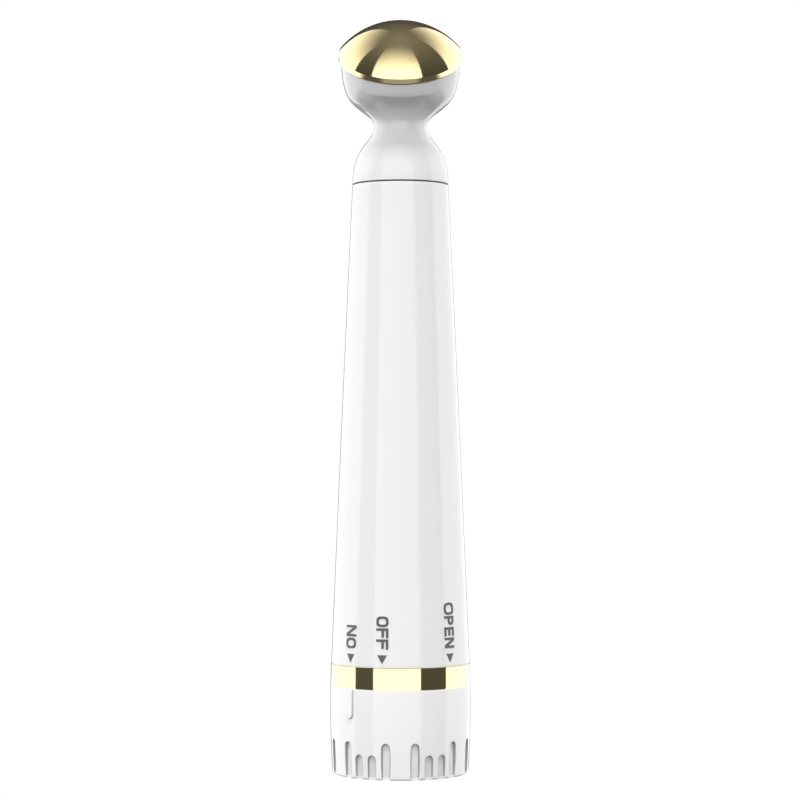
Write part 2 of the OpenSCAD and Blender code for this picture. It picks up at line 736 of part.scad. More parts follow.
module inner_frame() {
    tube_z = handle_z + tube_rise;
    flange_r = mouth_r - run_fit;
    play = 1;
    step = 0.3;
    post_wall = 1;
    color("lightgray")
        difference() {
            union() {
                // battery tube with a thrust shoulder for the collar, and its flange
                translate([0, 0, tube_z])
                    cylinder(r = tube_r, h = bulkhead_top - tube_z);
                translate([0, 0, collar_top + seat_fit])
                    cylinder(r = tube_r + step, h = flange_z - collar_top);
                translate([0, 0, flange_z])
                    cylinder(r = flange_r, h = flange_t);
                // half-round tray behind the board
                difference() {
                    translate([0, 0, bulkhead_top - bulkhead_t / 2])
                        cylinder(r = tray_r, h = seat_z - bulkhead_top + (bulkhead_t + seat_plate) / 2);
                    translate([0, 0, bulkhead_top])
                        cylinder(r = tray_r - tray_wall, h = seat_z - bulkhead_top);
                    translate([-2 * tray_r, board_back - 2 * tray_r, bulkhead_top])
                        cube([4 * tray_r, 2 * tray_r, seat_z - bulkhead_top]);
                }
                for (z = [board_z + screw_inset, board_top - screw_inset])
                    translate([0, tray_r - tray_wall / 2, z])
                        rotate([90, 0, 0])
                            cylinder(r = screw_d / 2 + post_wall, h = tray_r - tray_wall / 2 - board_back);
                // plate and round seat that carry the motor
                translate([0, 0, seat_z])
                    cylinder(r = tray_r, h = seat_plate);
                translate([0, 0, seat_floor - 0.1])
                    cylinder(r = seat_r, h = seat_h + 0.1);
            }
            translate([0, 0, tube_z - 1])
                cylinder(r = tube_bore_r, h = bulkhead_z - tube_z + 1);
            ring(clip_groove_r, tube_r + 1, clip_z - seat_fit / 2, clip_z + clip_t + seat_fit / 2);
            oblong_window(mix(flange_top, bulkhead_z, 0.5));
            // open notch for the collar's stop lug
            sector(key_r1 - 0.1, flange_r + 1, flange_z - 1, flange_top + 1,
                lug_at - play, lug_at + lug_angle + open_turn + play);
            // way for the negative strip past the flange
            sector(tube_r, frame_strip_r + strip_t + seat_fit, collar_top, flange_top + 1,
                strip_at - play, strip_at + strip_angle + play);
            sector(tube_r, mouth_r, collar_top, flange_z, strip_at - play, strip_at + strip_angle + play);
            // slot for the positive contact's tongue
            translate([-(tongue_w + pass_fit) / 2, board_front - strip_t - pass_fit, bulkhead_z - 1])
                cube([tongue_w + pass_fit, strip_t + 2 * pass_fit, bulkhead_t + 2]);
            // notch for the rib of the handle
            translate([-(rib_w + pass_fit) / 2, tube_r + seat_fit, flange_z - 1])
                cube([rib_w + pass_fit, mouth_r, flange_t + 2]);
            // holes for the screws
            for (z = [board_z + screw_inset, board_top - screw_inset])
                translate([0, board_front + screw_len + pass_fit, z])
                    rotate([90, 0, 0])
                        cylinder(r = screw_d / 2 + close_fit, h = screw_len + pass_fit);
            // bore for the motor's sleeve, and ways for the leads
            translate([0, 0, seat_floor])
                cylinder(r = sleeve_r + seat_fit, h = seat_h + 1);
            translate([0, 0, seat_z - 1])
                cylinder(d = motor_hole_d, h = seat_plate + 2);
            sector(seat_r + close_fit, tray_r + 1, seat_z - 1, seat_floor + 1,
                270 - gate_angle, 270 + gate_angle);
        }
}

module negative_strip() {
    // pad under the flange, strip up the battery tube, and a tab under the board
    a2 = strip_at + strip_angle;
    pad_z = collar_top + strip_t + seat_fit;
    color("silver") {
        sector(frame_strip_r, key_r2, pad_z, pad_z + strip_t, strip_at, a2);
        sector(frame_strip_r, frame_strip_r + strip_t, pad_z, board_z, strip_at, a2);
        sector(strip_tab_r, frame_strip_r + strip_t, board_z - strip_t, board_z, strip_at, a2);
    }
}

module positive_contact() {
    color("silver") {
        translate([0, 0, contact_z])
            cylinder(r = cell_nub_d / 2 + contact_rim, h = strip_t);
        translate([-tongue_w / 2, board_front - strip_t, contact_z])
            cube([tongue_w, strip_t, board_z + tongue_lap - contact_z]);
    }
}

// ---------- circuit board ----------

module circuit_board() {
    corner = 1.6;
    color("seagreen")
        difference() {
            translate([-board_w / 2, board_front, board_z])
                cube([board_w, board_t, board_len]);
            for (z = [board_z + screw_inset, board_top - screw_inset])
                translate([0, board_back + 1, z])
                    rotate([90, 0, 0])
                        cylinder(r = screw_d / 2 + run_fit, h = board_t + 2);
            // cut corners that clear the narrow end of the handle
            for (s = [-1, 1])
                translate([s * board_w / 2, board_back, board_top])
                    rotate([90, 45, 0])
                        cube([corner, corner, 4 * board_t], center = true);
        }
}

module control_chip() {
    lift = 0.1;
    foot = [0.5, 0.4, 0.3];
    foot_pitch = chip_w * 0.22;
    color("black")
        translate([part_x, board_front, board_mid]) {
            translate([-chip_w / 2, -chip_h, -chip_w / 2])
                cube([chip_w, chip_h - lift, chip_w]);
            // a row of flat feet on two sides
            for (s = [-1, 1], k = [-1.5 : 1 : 1.5])
                translate([s * (chip_w + foot[0]) / 2 - foot[0], -foot[1], k * foot_pitch - foot[2] / 2])
                    cube([2 * foot[0], foot[1], foot[2]]);
        }
}

module boost_inductor() {
    flange = 0.6;
    color("dimgray")
        translate([-part_x, board_front, board_mid])
            rotate([90, 0, 0]) {
                linear_extrude(flange)
                    square(coil_w, center = true);
                cylinder(d = coil_w - flange, h = coil_h);
                translate([0, 0, coil_h - flange])
                    cylinder(d = coil_w - flange / 4, h = flange);
            }
}

module board_capacitors() {
    // two pairs below the chip and one above it
    size = [1.6, 0.9, 2.4];
    edge = 0.6;
    far_x = board_w / 2 - 1 - size[0];
    near_x = far_x - size[0] - 0.8;
    color("burlywood")
        for (s = [-1, 1], at = [[near_x, board_z + edge], [far_x, board_z + edge],
            [far_x, board_top - edge - 1 - size[2]]])
            translate([s > 0 ? at[0] : -at[0] - size[0], board_front - size[1], at[1]])
                cube(size);
}

module board_screws() {
    head_h = 0.8;
    slot = [0.4, 0.35];
    color("silver")
        for (z = [board_z + screw_inset, board_top - screw_inset])
            translate([0, board_front, z])
                rotate([90, 0, 0])
                    difference() {
                        union() {
                            cylinder(d = screw_head_d, h = head_h);
                            translate([0, 0, -screw_len])
                                cylinder(d = screw_d, h = screw_len + head_h / 2);
                        }
                        for (a = [0, 90])
                            rotate([0, 0, a])
                                translate([-slot[0] / 2, -screw_head_d * 0.38, head_h - slot[1]])
                                    cube([slot[0], screw_head_d * 0.76, 1]);
                    }
}

// ---------- vibration motor ----------

module motor_sleeve() {
    color("dimgray")
        difference() {
            translate([0, 0, seat_floor + seat_fit])
                cylinder(r = sleeve_r, h = seat_h + 0.4);
            translate([0, 0, motor_z])
                cylinder(r = motor_d / 2 + close_fit, h = seat_h + 1);
            translate([0, 0, seat_floor])
                cylinder(d = motor_hole_d, h = seat_h);
        }
}

module motor_end_cap() {
    color("whitesmoke")
        translate([0, 0, motor_z])
            cylinder(d = motor_d - 0.2, h = motor_cap_t);
}

module motor_case() {
    z = motor_z + motor_cap_t + close_fit;
    edge = 0.4;
    top = motor_top - z;
    color("silver")
        difference() {
            translate([0, 0, z])
                rotate_extrude()
                    polygon([[0, 0], [motor_d / 2, 0], [motor_d / 2, top - edge],
                        [motor_d / 2 - edge, top], [motor_boss_r, top],
                        [motor_boss_r, top + motor_boss_h], [0, top + motor_boss_h]]);
            translate([0, 0, shaft_z - seat_fit])
                cylinder(r = shaft_d / 2 + seat_fit, h = motor_len);
        }
}

module motor_shaft() {
    color("silver")
        translate([0, 0, shaft_z])
            cylinder(d = shaft_d, h = motor_top + shaft_out - shaft_z);
}

module eccentric_weight() {
    hub_r = 1.3;
    color("slategray")
        translate([0, 0, weight_z])
            difference() {
                union() {
                    cylinder(r = hub_r, h = weight_len);
                    intersection() {
                        cylinder(r = weight_r, h = weight_len);
                        translate([-weight_r, 0, 0])
                            cube([2 * weight_r, weight_r, weight_len]);
                    }
                }
                translate([0, 0, -1])
                    cylinder(r = shaft_d / 2 + close_fit, h = weight_len + 2);
            }
}

module motor_leads() {
    y = board_front - lead_d / 2 - seat_fit;
    color("firebrick")
        for (s = [-1, 1])
            tube(route([[s * motor_lead_x, y, board_top - lead_tail],
                [s * motor_lead_x, y, board_top],
                [s * motor_lead_gap, y / 2, seat_z - lead_bend / 2],
                [s * motor_lead_gap, 0, seat_floor],
                [s * motor_lead_gap, 0, motor_z - seat_fit]], 3), lead_d / 2, [1, 0, 0]);
}

// ---------- neck housing ----------

// Middle of the neck at length u above the waist, as [y, z], and its lean there
function lean(u) = u <= neck_straight ? 0 : (u - neck_straight) / bend_r * 180 / PI;
function spine(u) = u <= neck_straight ? [0, waist_z + u]
    : [-bend_r * (1 - cos(lean(u))), waist_z + neck_straight + bend_r * sin(lean(u))];

// The housing's side as three curves of [radius, length above the waist]
shoulder_curve = [[shoulder_d / 2, -shoulder_h], [shoulder_d / 2, -shoulder_h * 0.34],
    [waist_d / 2, -shoulder_h * 0.27], [waist_d / 2, 0]];
flare_way = [cos(flare_slope), sin(flare_slope)];
flare_curve = [[waist_d / 2, 0], [waist_d / 2, flare_l * 0.4],
    [flare_d / 2, flare_l] - flare_way, [flare_d / 2, flare_l]];
bowl_curve = [[flare_d / 2, flare_l], [flare_d / 2, flare_l] + 2.1 * flare_way,
    [cup_d / 2, spine_len * 0.45], [cup_d / 2, spine_len]];

// Point at t on the curve p, moved towards the axis by the wall
function inner_point(p, t) =
    let (d = unit(curve(p, min(t + 0.01, 1)) - curve(p, max(t - 0.01, 0))))
        curve(p, t) + neck_wall * [-d[1], d[0]];

// One turn round the housing's section, inside and out, as [radius, length]
neck_section = concat(
    [[plug_r, -shoulder_h - gasket_t - neck_plug_len], [plug_r, -shoulder_h]],
    [for (t = steps(0, 1, 9)) curve(shoulder_curve, t)],
    [for (t = steps(0, 1, 7)) if (t > 0) curve(flare_curve, t)],
    [for (t = steps(0, 1, 9)) if (t > 0) curve(bowl_curve, t)],
    [[cup_d / 2 - neck_wall, spine_len]],
    [for (t = steps(1, 0, 6)) if (t < 1) inner_point(bowl_curve, t)],
    [for (t = steps(1, 0, 4)) if (t < 1) inner_point(flare_curve, t)],
    [for (t = steps(1, 0, 6)) if (t < 1 && t > 0.1) inner_point(shoulder_curve, t)],
    [[plug_bore_r, -shoulder_h + 0.8], [plug_bore_r, -shoulder_h - gasket_t - neck_plug_len]]);

// A ring of n points of radius r, square to the neck at length u above the waist
function neck_ring(r, u, n) = let (a = lean(u), c = spine(u))
    [for (k = [0 : n - 1]) let (f = 360 * k / n)
        [r * cos(f), c[0] + r * sin(f) * cos(a), c[1] + r * sin(f) * sin(a)]];

module neck_housing() {
    sides = 48;
    rings = len(neck_section);
    points = [for (s = neck_section) each neck_ring(s[0], s[1], sides)];
    faces = [for (i = [0 : rings - 1]) for (k = [0 : sides - 1])
        let (a = i * sides + k, b = i * sides + (k + 1) % sides,
            c = ((i + 1) % rings) * sides + k, d = ((i + 1) % rings) * sides + (k + 1) % sides)
            each [[a, c, d], [a, d, b]]];
    color("white")
        polyhedron(points, faces);
}

// Route of the lead of side s from its place x on the board, up beside the motor at angle
// a from the front, through the neck along its own way, and to height w in the head
function lead_route(s, x, d, a, way, head_way, w) =
    let (lane = [s * lead_lane_r * sin(a), -lead_lane_r * cos(a)],
        beside = way[0], low = way[1], high = way[2], in_cup = head_way[0], last = head_way[1])
    route([[s * x, board_front - d / 2 - seat_fit, board_top - lead_tail],
        [s * x, board_front - lead_bend, board_top + lead_bend / 2],
        [lane[0], lane[1], seat_z - lead_bend / 2],
        [lane[0], lane[1], mix(seat_floor, seat_floor + seat_h, 0.2)],
        [lane[0], lane[1], seat_floor + seat_h],
        [s * beside[0], beside[1], weight_top],
        [s * low[0], low[1], waist_z - waist_reach],
        [s * high[0], high[1], waist_z + waist_reach],
        head_point(s * in_cup[0], in_cup[1], in_cup[2]),
        head_point(s * last[0], last[1], last[2]),
        head_point(s * last[0], 0, w)], 3);

module heater_leads() {
    film_z = dome_centre_z + film_back_r - 4 * seat_fit;
    color("firebrick")
        for (s = [-1, 1])
            tube(lead_route(s, heater_lead_x, lead_d, heater_lane_at, heater_way,
                heater_head_way, film_z), lead_d / 2, [1, 0, 0]);
}

// ---------- head ----------

module head_seal() {
    bore_r = skirt_d / 2 + close_fit;
    setback = 0.15;
    color("dimgray")
        in_head() {
            ring(bore_r, cup_d / 2 - setback, 0, seal_t);
            ring(bore_r, skirt_d / 2 + seal_lip_t, -seal_lip_len, seal_t / 2);
        }
}

module massage_head() {
    // the rounded corner runs on into the ball without a kink
    meet = atan2(dome_knee_r, dome_knee_z - dome_centre_z);
    skirt_in_r = skirt_d / 2 - skirt_wall;
    corner = [for (a = steps(90, meet, 3)) if (a > meet) [dome_knee_r + dome_edge_r * sin(a),
        dome_knee_z + dome_edge_r * cos(a)]];
    ball = [for (a = steps(meet, 0, 16)) [dome_ball_r * sin(a),
        dome_centre_z + dome_ball_r * cos(a)]];
    low_z = dome_centre_z + sqrt(pow(dome_in_r, 2) - pow(skirt_in_r, 2));
    hollow = [for (a = steps(0, asin(skirt_in_r / dome_in_r), 10)) [dome_in_r * sin(a),
        dome_centre_z + dome_in_r * cos(a)]];
    color("gold")
        in_head()
            rotate_extrude()
                polygon(concat([[skirt_d / 2, dome_z], [dome_d / 2, dome_z]], corner, ball,
                    hollow, [[skirt_in_r, low_z], [skirt_in_r, -skirt_len],
                    [skirt_d / 2, -skirt_len]]));
}

module heater_film() {
    color("orange")
        in_head()
            intersection() {
                translate([0, 0, dome_centre_z])
                    difference() {
                        sphere(r = film_r);
                        sphere(r = film_back_r);
                    }
                cylinder(d = heater_d, h = 20);
            }
}

module foam_pad() {
    color("lightyellow")
        in_head()
            difference() {
                intersection() {
                    translate([0, 0, -foam_depth])
                        cylinder(r = foam_r, h = 12);
                    translate([0, 0, dome_centre_z])
                        sphere(r = film_back_r - seat_fit);
                }
                translate([0, 0, -foam_depth - 1])
                    cylinder(d = foam_hole_d, h = 20);
            }
}

module temperature_sensor() {
    color("saddlebrown")
        in_head()
            translate([0, 0, dome_centre_z + film_back_r - bead_d / 2 - close_fit])
                sphere(d = bead_d, $fn = 32);
}

module sensor_leads() {
    bead_z = dome_centre_z + film_back_r - bead_d - close_fit;
    color("dimgray")
        for (s = [-1, 1])
            tube(lead_route(s, sensor_lead_x, sensor_lead_d, sensor_lane_at, sensor_way,
                sensor_head_way, bead_z), sensor_lead_d / 2, [1, 0, 0]);
}

module head_lock_ring() {
    notch_w = 1.6;
    top = -foam_depth - seat_fit;
    color("lightgray")
        in_head()
            difference() {
                ring(lock_bore / 2, skirt_d / 2 - skirt_wall - seat_fit, top - lock_h, top);
                // two notches for the tool that turns it home
                for (s = [-1, 1])
                    translate([s * lock_bore / 2 - notch_w / 2, -notch_w / 2, top - lock_h - 1])
                        cube([notch_w, notch_w, lock_h + 2]);
            }
}

cap_shell();
gold_ring();
cap_insert();
cap_seal();
cap_contact();
battery_spring();
battery_cell();
switch_collar();
collar_wiper();
collar_clip();
main_body();
inner_frame();
negative_strip();
positive_contact();
circuit_board();
control_chip();
boost_inductor();
board_capacitors();
board_screws();
motor_sleeve();
motor_case();
motor_end_cap();
motor_leads();
motor_shaft();
eccentric_weight();
seam_gasket();
neck_housing();
heater_leads();
sensor_leads();
head_seal();
massage_head();
heater_film();
temperature_sensor();
foam_pad();
head_lock_ring();
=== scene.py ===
# %% [markdown]
# # A heated eye massager wand
#
# The wand is a tapered white handle that stands on a round battery cap, and carries a
# small cup with a polished gold dome. The construction is already done: every solid sits
# at its real place. This lesson gives the wand its looks, piece by piece. Each cell says
# what the piece is on the real object, how it could be made and why one way was chosen.
#
# We start with the frame, which holds every solid of the wand.

import json
from math import asin, atan2, cos, degrees, pi, radians, sin, sqrt, tan

import bmesh
import bpy
from mathutils import Matrix, Vector


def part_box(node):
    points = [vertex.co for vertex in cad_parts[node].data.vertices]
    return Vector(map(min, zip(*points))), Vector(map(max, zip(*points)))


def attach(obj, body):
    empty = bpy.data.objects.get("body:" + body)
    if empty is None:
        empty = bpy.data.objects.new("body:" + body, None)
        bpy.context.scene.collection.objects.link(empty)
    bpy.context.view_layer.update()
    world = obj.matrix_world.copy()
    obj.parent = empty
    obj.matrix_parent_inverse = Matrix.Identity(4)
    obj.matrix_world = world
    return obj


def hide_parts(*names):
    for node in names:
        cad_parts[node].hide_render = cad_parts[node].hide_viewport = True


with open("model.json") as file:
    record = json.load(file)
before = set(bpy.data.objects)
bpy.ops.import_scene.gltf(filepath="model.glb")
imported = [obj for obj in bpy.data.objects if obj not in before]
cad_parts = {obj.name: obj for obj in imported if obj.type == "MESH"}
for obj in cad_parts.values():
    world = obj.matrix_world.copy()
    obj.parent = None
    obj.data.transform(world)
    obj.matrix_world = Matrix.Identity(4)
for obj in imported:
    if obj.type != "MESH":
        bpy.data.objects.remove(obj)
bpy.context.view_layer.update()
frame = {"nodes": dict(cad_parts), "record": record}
MM = 0.001
print("solids in the frame:", len(frame["nodes"]))

# %% [markdown]
# ## Sizes
#
# Heights come from the frame, so that they follow the construction. The diameters and
# the laws of the two curved sides are the wand's own driving sizes. All are in metres,
# which is why a size in millimetres is multiplied by MM.

# %% Heights from the frame, and the laws of the sides
seam_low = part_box("gold_ring")[1].z
ring_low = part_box("gold_ring")[0].z
body_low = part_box("main_body")[0].z
body_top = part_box("main_body")[1].z
neck_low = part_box("seam_gasket")[1].z

CAP_FOOT_R = 12.18 * MM
CAP_BELLY_R = 12.567 * MM
CAP_LIP_R = 12.45 * MM
CAP_BELLY_Z = 11.5 * MM
CAP_EDGE = 0.4 * MM
HANDLE_FOOT_R = 12.4 * MM
HANDLE_TOP_R = 8.62 * MM
HANDLE_SWELL = 0.07 * MM


def mix(a, b, t):
    """The value at t on the way from a to b."""
    return a + (b - a) * t


def cap_radius(z):
    """Radius of the cap's side: two shallow arches that meet at the belly."""
    if z < CAP_BELLY_Z:
        return CAP_BELLY_R - (CAP_BELLY_R - CAP_FOOT_R) * (1 - max(z, 0) / CAP_BELLY_Z) ** 2
    rise = (z - CAP_BELLY_Z) / (seam_low - CAP_BELLY_Z)
    return CAP_BELLY_R - (CAP_BELLY_R - CAP_LIP_R) * rise**2


def handle_radius(z):
    """Radius of the handle's side: a cone with a slight swell."""
    t = (z - body_low) / (body_top - body_low)
    return mix(HANDLE_FOOT_R, HANDLE_TOP_R, t) + HANDLE_SWELL * 4 * t * (1 - t)


print(f"handle from {body_low / MM:.1f} to {body_top / MM:.1f} mm, ring from {ring_low / MM:.1f} mm")

# %% [markdown]
# ## A wrapper for node maths
#
# Shader and geometry trees do their sums with Math nodes. Placed one by one, a single
# formula becomes a page of code. This class wraps an output socket and overloads the
# operators, with their reflected forms, so that `1 - mask` works on it. Every other node
# comes from one method, `node`, which takes the node's type, its settings and its inputs.

# %% The wrapper
class Socket:
    """An output of a node, which can be used in sums. Without an output it only adds nodes."""

    def __init__(self, tree, out=None):
        self.tree = tree
        self.out = out

    def node(self, kind, settings=None, inputs=None, output=0):
        made = self.tree.nodes.new(kind)
        for name, value in (settings or {}).items():
            if name == "stops":
                ramp = made.color_ramp
                while len(ramp.elements) < len(value):
                    ramp.elements.new(1)
                for element, (position, colour) in zip(ramp.elements, value):
                    element.position = position
                    element.color = (*colour, 1)
            else:
                setattr(made, name, value)
        for name, value in (inputs or {}).items():
            if isinstance(value, Socket):
                self.tree.links.new(value.out, made.inputs[name])
            else:
                made.inputs[name].default_value = value
        return Socket(self.tree, made.outputs[output] if made.outputs else None)

    def math(self, operation, *values):
        return self.node("ShaderNodeMath", {"operation": operation}, dict(enumerate(values)))

    def __add__(self, other):
        return self.math("ADD", self, other)

    def __sub__(self, other):
        return self.math("SUBTRACT", self, other)

    def __rsub__(self, other):
        return self.math("SUBTRACT", other, self)

    def __mul__(self, other):
        return self.math("MULTIPLY", self, other)

    def __truediv__(self, other):
        return self.math("DIVIDE", self, other)

    def __neg__(self):
        return self.math("MULTIPLY", self, -1.0)

    __radd__ = __add__
    __rmul__ = __mul__

    def rise(self, low, high):
        """0 below low, 1 above high, and a smooth slope between them."""
        return self.node("ShaderNodeMapRange", {"interpolation_type": "SMOOTHSTEP"},
                         {"Value": self, "From Min": low, "From Max": high})

    def between(self, low, high, soft):
        """1 from low to high and 0 outside, with soft slopes centred on both."""
        half = soft / 2
        return self.rise(low - half, low + half) * (1 - self.rise(high - half, high + half))


def axes(graph, vector):
    """The X, Y and Z of a vector socket."""
    split = graph.node("ShaderNodeSeparateXYZ", inputs={"Vector": vector}).out.node
    return [Socket(graph.tree, out) for out in split.outputs]


print("wrapper ready")

# %% [markdown]
# ## A maker of materials
#
# Each finish is a function that receives the graph and the place on the object, in
# metres, and returns only what varies over the surface. What is the same everywhere is
# set on the shader's own sockets. Object coordinates are used, since every piece sits at
# the origin: one scale of grain then suits all pieces, large and small.

# %% Helpers for finishes
def finish(name, look=None, bump=None, **fixed):
    """A material: fixed values go on the sockets, look gives the varying ones, bump a height."""
    made = bpy.data.materials.new(name)
    made.use_nodes = True
    tree = made.node_tree
    shader = tree.nodes["Principled BSDF"]
    graph = Socket(tree)
    place = graph.node("ShaderNodeTexCoord", output="Object")
    for label, value in fixed.items():
        shader.inputs[label.replace("_", " ")].default_value = value
    for label, value in (look(graph, place) if look else {}).items():
        tree.links.new(value.out, shader.inputs[label])
    if bump:
        height, distance, strength = bump(graph, place)
        normal = graph.node("ShaderNodeBump", inputs={
            "Height": height, "Distance": distance, "Strength": strength}, output="Normal")
        tree.links.new(normal.out, shader.inputs["Normal"])
    made.diffuse_color = shader.inputs["Base Color"].default_value
    return made


def noise(graph, place, size, detail=2.0, stretch=(1, 1, 1), roughness=0.5):
    """Noise from 0 to 1 whose patches are about size metres wide, longer along a stretched axis."""
    scaled = graph.node("ShaderNodeMapping", inputs={
        "Vector": place, "Scale": tuple(1 / s for s in stretch)})
    return graph.node("ShaderNodeTexNoise", inputs={
        "Vector": scaled, "Scale": 1 / size, "Detail": detail, "Roughness": roughness})


def blend_colour(graph, factor, a, b):
    """Colour a where factor is 0 and b where it is 1."""
    made = graph.tree.nodes.new("ShaderNodeMix")
    made.data_type = "RGBA"
    graph.tree.links.new(factor.out, made.inputs["Factor"])
    for label, value in (("A", a), ("B", b)):
        socket = [s for s in made.inputs if s.name == label and s.type == "RGBA"][0]
        if isinstance(value, Socket):
            graph.tree.links.new(value.out, socket)
        else:
            socket.default_value = (*value, 1)
    return Socket(graph.tree, [s for s in made.outputs if s.type == "RGBA"][0])


print("materials so far:", len(bpy.data.materials))

# %% [markdown]
# ## White plastic and gold
#
# The shells are glossy white plastic. A moulded wall is never optically flat: it has long,
# shallow waves from cooling, and its gloss wanders a little where fingers polish it. The
# gold is a mirror-like plating over a moulded or drawn core, with a slight haze and very
# fine hairlines from polishing. Both stay subtle, because the object is new.

# %% White plastic and gold plate
def grey(level, cool=0.003):
    """A grey that is a touch bluer than neutral."""
    return (level, level, level + cool)


# brighter lifts both whites; the cap uses it as painted light.
def white_look(graph, place, brighter=0.0):
    """Two close whites in slow clouds, with a gloss that wanders a little."""
    cloud = noise(graph, place, 9 * MM, 3.0)
    speck = noise(graph, place, 0.5 * MM, 2.0)
    return {"Base Color": blend_colour(graph, cloud, grey(0.850 + brighter), grey(0.872 + brighter)),
            "Roughness": 0.02 + 0.02 * cloud + 0.01 * speck}


def white_bump(graph, place):
    wave = noise(graph, place, 7 * MM, 1.0, (1, 1, 3))
    skin = noise(graph, place, 0.35 * MM, 2.0)
    return wave + 0.05 * skin, 0.01 * MM, 0.3


def gold_look(graph, place):
    haze = noise(graph, place, 5 * MM, 3.0)
    line = noise(graph, place, 0.12 * MM, 2.0, (1, 1, 30))
    return {"Base Color": blend_colour(graph, haze, (0.94, 0.780, 0.415), (0.96, 0.805, 0.440)),
            "Roughness": 0.04 + 0.03 * haze + 0.02 * line}


def gold_bump(graph, place):
    return noise(graph, place, 0.15 * MM, 2.0, (1, 1, 24)), 0.002 * MM, 0.2


white_plastic = finish("white_plastic", white_look, white_bump, IOR=1.5)
gold_plate = finish("gold_plate", gold_look, gold_bump, Metallic=1.0)
print("finishes:", white_plastic.name, gold_plate.name)

# %% [markdown]
# ## Turned pieces
#
# Nearly every shell of the wand is round. A turned piece could be made with the Screw
# modifier or with Spin, but a formula gives clean quads, exact roundness and normals that
# point outwards at once. An outline is a closed loop of (radius, height), walked up the
# outside and down the inside. `rounded` turns its corners into small arcs, because no
# moulded edge is sharp, and a sharp edge catches no light.

# %% Helpers for turned pieces
SHARP = radians(38)  # edges steeper than this stay sharp
ON_AXIS = 1e-7  # a smaller radius counts as a point on the axis


def rounded(corners, steps=5):
    """Closed outline from (radius, height, rounding) corners; each rounding becomes an arc."""
    outline = []
    for i, (r, z, size) in enumerate(corners):
        here = Vector((r, z))
        if size == 0:
            outline.append(here)
            continue
        before = (Vector(corners[i - 1][:2]) - here).normalized()
        after = (Vector(corners[(i + 1) % len(corners)][:2]) - here).normalized()
        half = before.angle(after) / 2
        middle = here + (before + after).normalized() * size / sin(half)
        start = here + before * size / tan(half) - middle
        swing = start.angle_signed(here + after * size / tan(half) - middle)
        for k in range(steps + 1):
            outline.append(middle + Matrix.Rotation(-swing * k / steps, 2) @ start)
    return [(p[0], p[1]) for p in outline]


def add_piece(name, mesh, material):
    """A new object for the mesh, smooth except at its sharp edges."""
    made = bpy.data.objects.new(name, mesh)
    bpy.context.scene.collection.objects.link(made)
    if material:
        mesh.materials.clear()
        mesh.materials.append(material)
    mesh.shade_smooth()
    mesh.set_sharp_from_angle(angle=SHARP)
    return made


def turned(name, outline, material, sides=256, place=Matrix.Identity(4)):
    """The closed outline, turned round +Z; a point on the axis becomes a closed pole."""
    points, rings, faces = [], [], []
    for r, z in outline:
        count = sides if r > ON_AXIS else 1
        rings.append(range(len(points), len(points) + count))
        points += [(r * cos(2 * pi * k / sides), r * sin(2 * pi * k / sides), z)
                   for k in range(count)]
    for i, low in enumerate(rings):
        high = rings[(i + 1) % len(rings)]
        if len(low) == len(high) == 1:
            continue
        for k in range(sides):
            m = (k + 1) % sides
            corners = [low[k % len(low)], low[m % len(low)],
                       high[m % len(high)], high[k % len(high)]]
            faces.append(list(dict.fromkeys(corners)))
    mesh = bpy.data.meshes.new(name)
    mesh.from_pydata([place @ Vector(p) for p in points], [], faces)
    mesh.validate()
    return add_piece(name, mesh, material)


def dress(piece, body, slot, *nodes):
    """The piece rides on its body and stands for the nodes; the slot is not used."""
    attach(piece, body)
    if nodes:
        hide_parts(*nodes)
    print(f"{piece.name}: {len(piece.data.polygons)} faces on {body}")


def steps(a, b, count):
    """Evenly spaced values from a to b, both ends included."""
    return [mix(a, b, i / count) for i in range(count + 1)]


print("edges stay sharp from", round(degrees(SHARP)), "degrees")

# %% [markdown]
# ## The handle tube
#
# The handle is a long cone, moulded in one piece, with a wide mouth below for the cap's
# spigot. The outline has many points up the side, since the swell of the cone is only seen
# as a slow change in the reflections. The upper edge is rounded more than the lower one:
# that is what darkens the ends of the seam line above it.

# %% Handle tube
MOUTH_R = 10.38 * MM
MOUTH_EDGE = 0.25 * MM  # rounding inside the mouth
FOOT_EDGE = 0.1 * MM
TOP_EDGE = 0.18 * MM
LEDGE_R = 9.6 * MM
LEDGE_UP = 16.1 * MM  # from the foot of the inner frame
LEDGE_T = 1 * MM
HANDLE_WALL = 1.5 * MM
ledge_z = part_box("inner_frame")[0].z + LEDGE_UP


def handle_outline():
    ledge_top = ledge_z + LEDGE_T
    side = [(handle_radius(z), z, 0) for z in steps(body_low + 0.6 * MM, body_top - 0.5 * MM, 60)]
    return rounded(
        [(MOUTH_R, body_low, MOUTH_EDGE), (handle_radius(body_low), body_low, FOOT_EDGE)]
        + side
        + [(handle_radius(body_top), body_top, TOP_EDGE),
           (handle_radius(body_top) - HANDLE_WALL, body_top, FOOT_EDGE),
           (handle_radius(ledge_top) - HANDLE_WALL, ledge_top, 0),
           (LEDGE_R, ledge_top, 0), (LEDGE_R, ledge_z, 0), (MOUTH_R, ledge_z, 0)])


handle_tube = turned("handle_tube", handle_outline(), white_plastic)
dress(handle_tube, "handle", "white_shell", "main_body")

# %% [markdown]
# ## The neck and the cup
#
# The neck housing rises from a shoulder as wide as the handle to a thin waist, and opens
# into a cup that leans forward. It is hard to turn, because its axis bends. It could be
# swept with Curve to Mesh, but then the wall's inside needs a second sweep. Here it is
# turned straight first, from three curves, and a Geometry Nodes tree leans it afterwards.

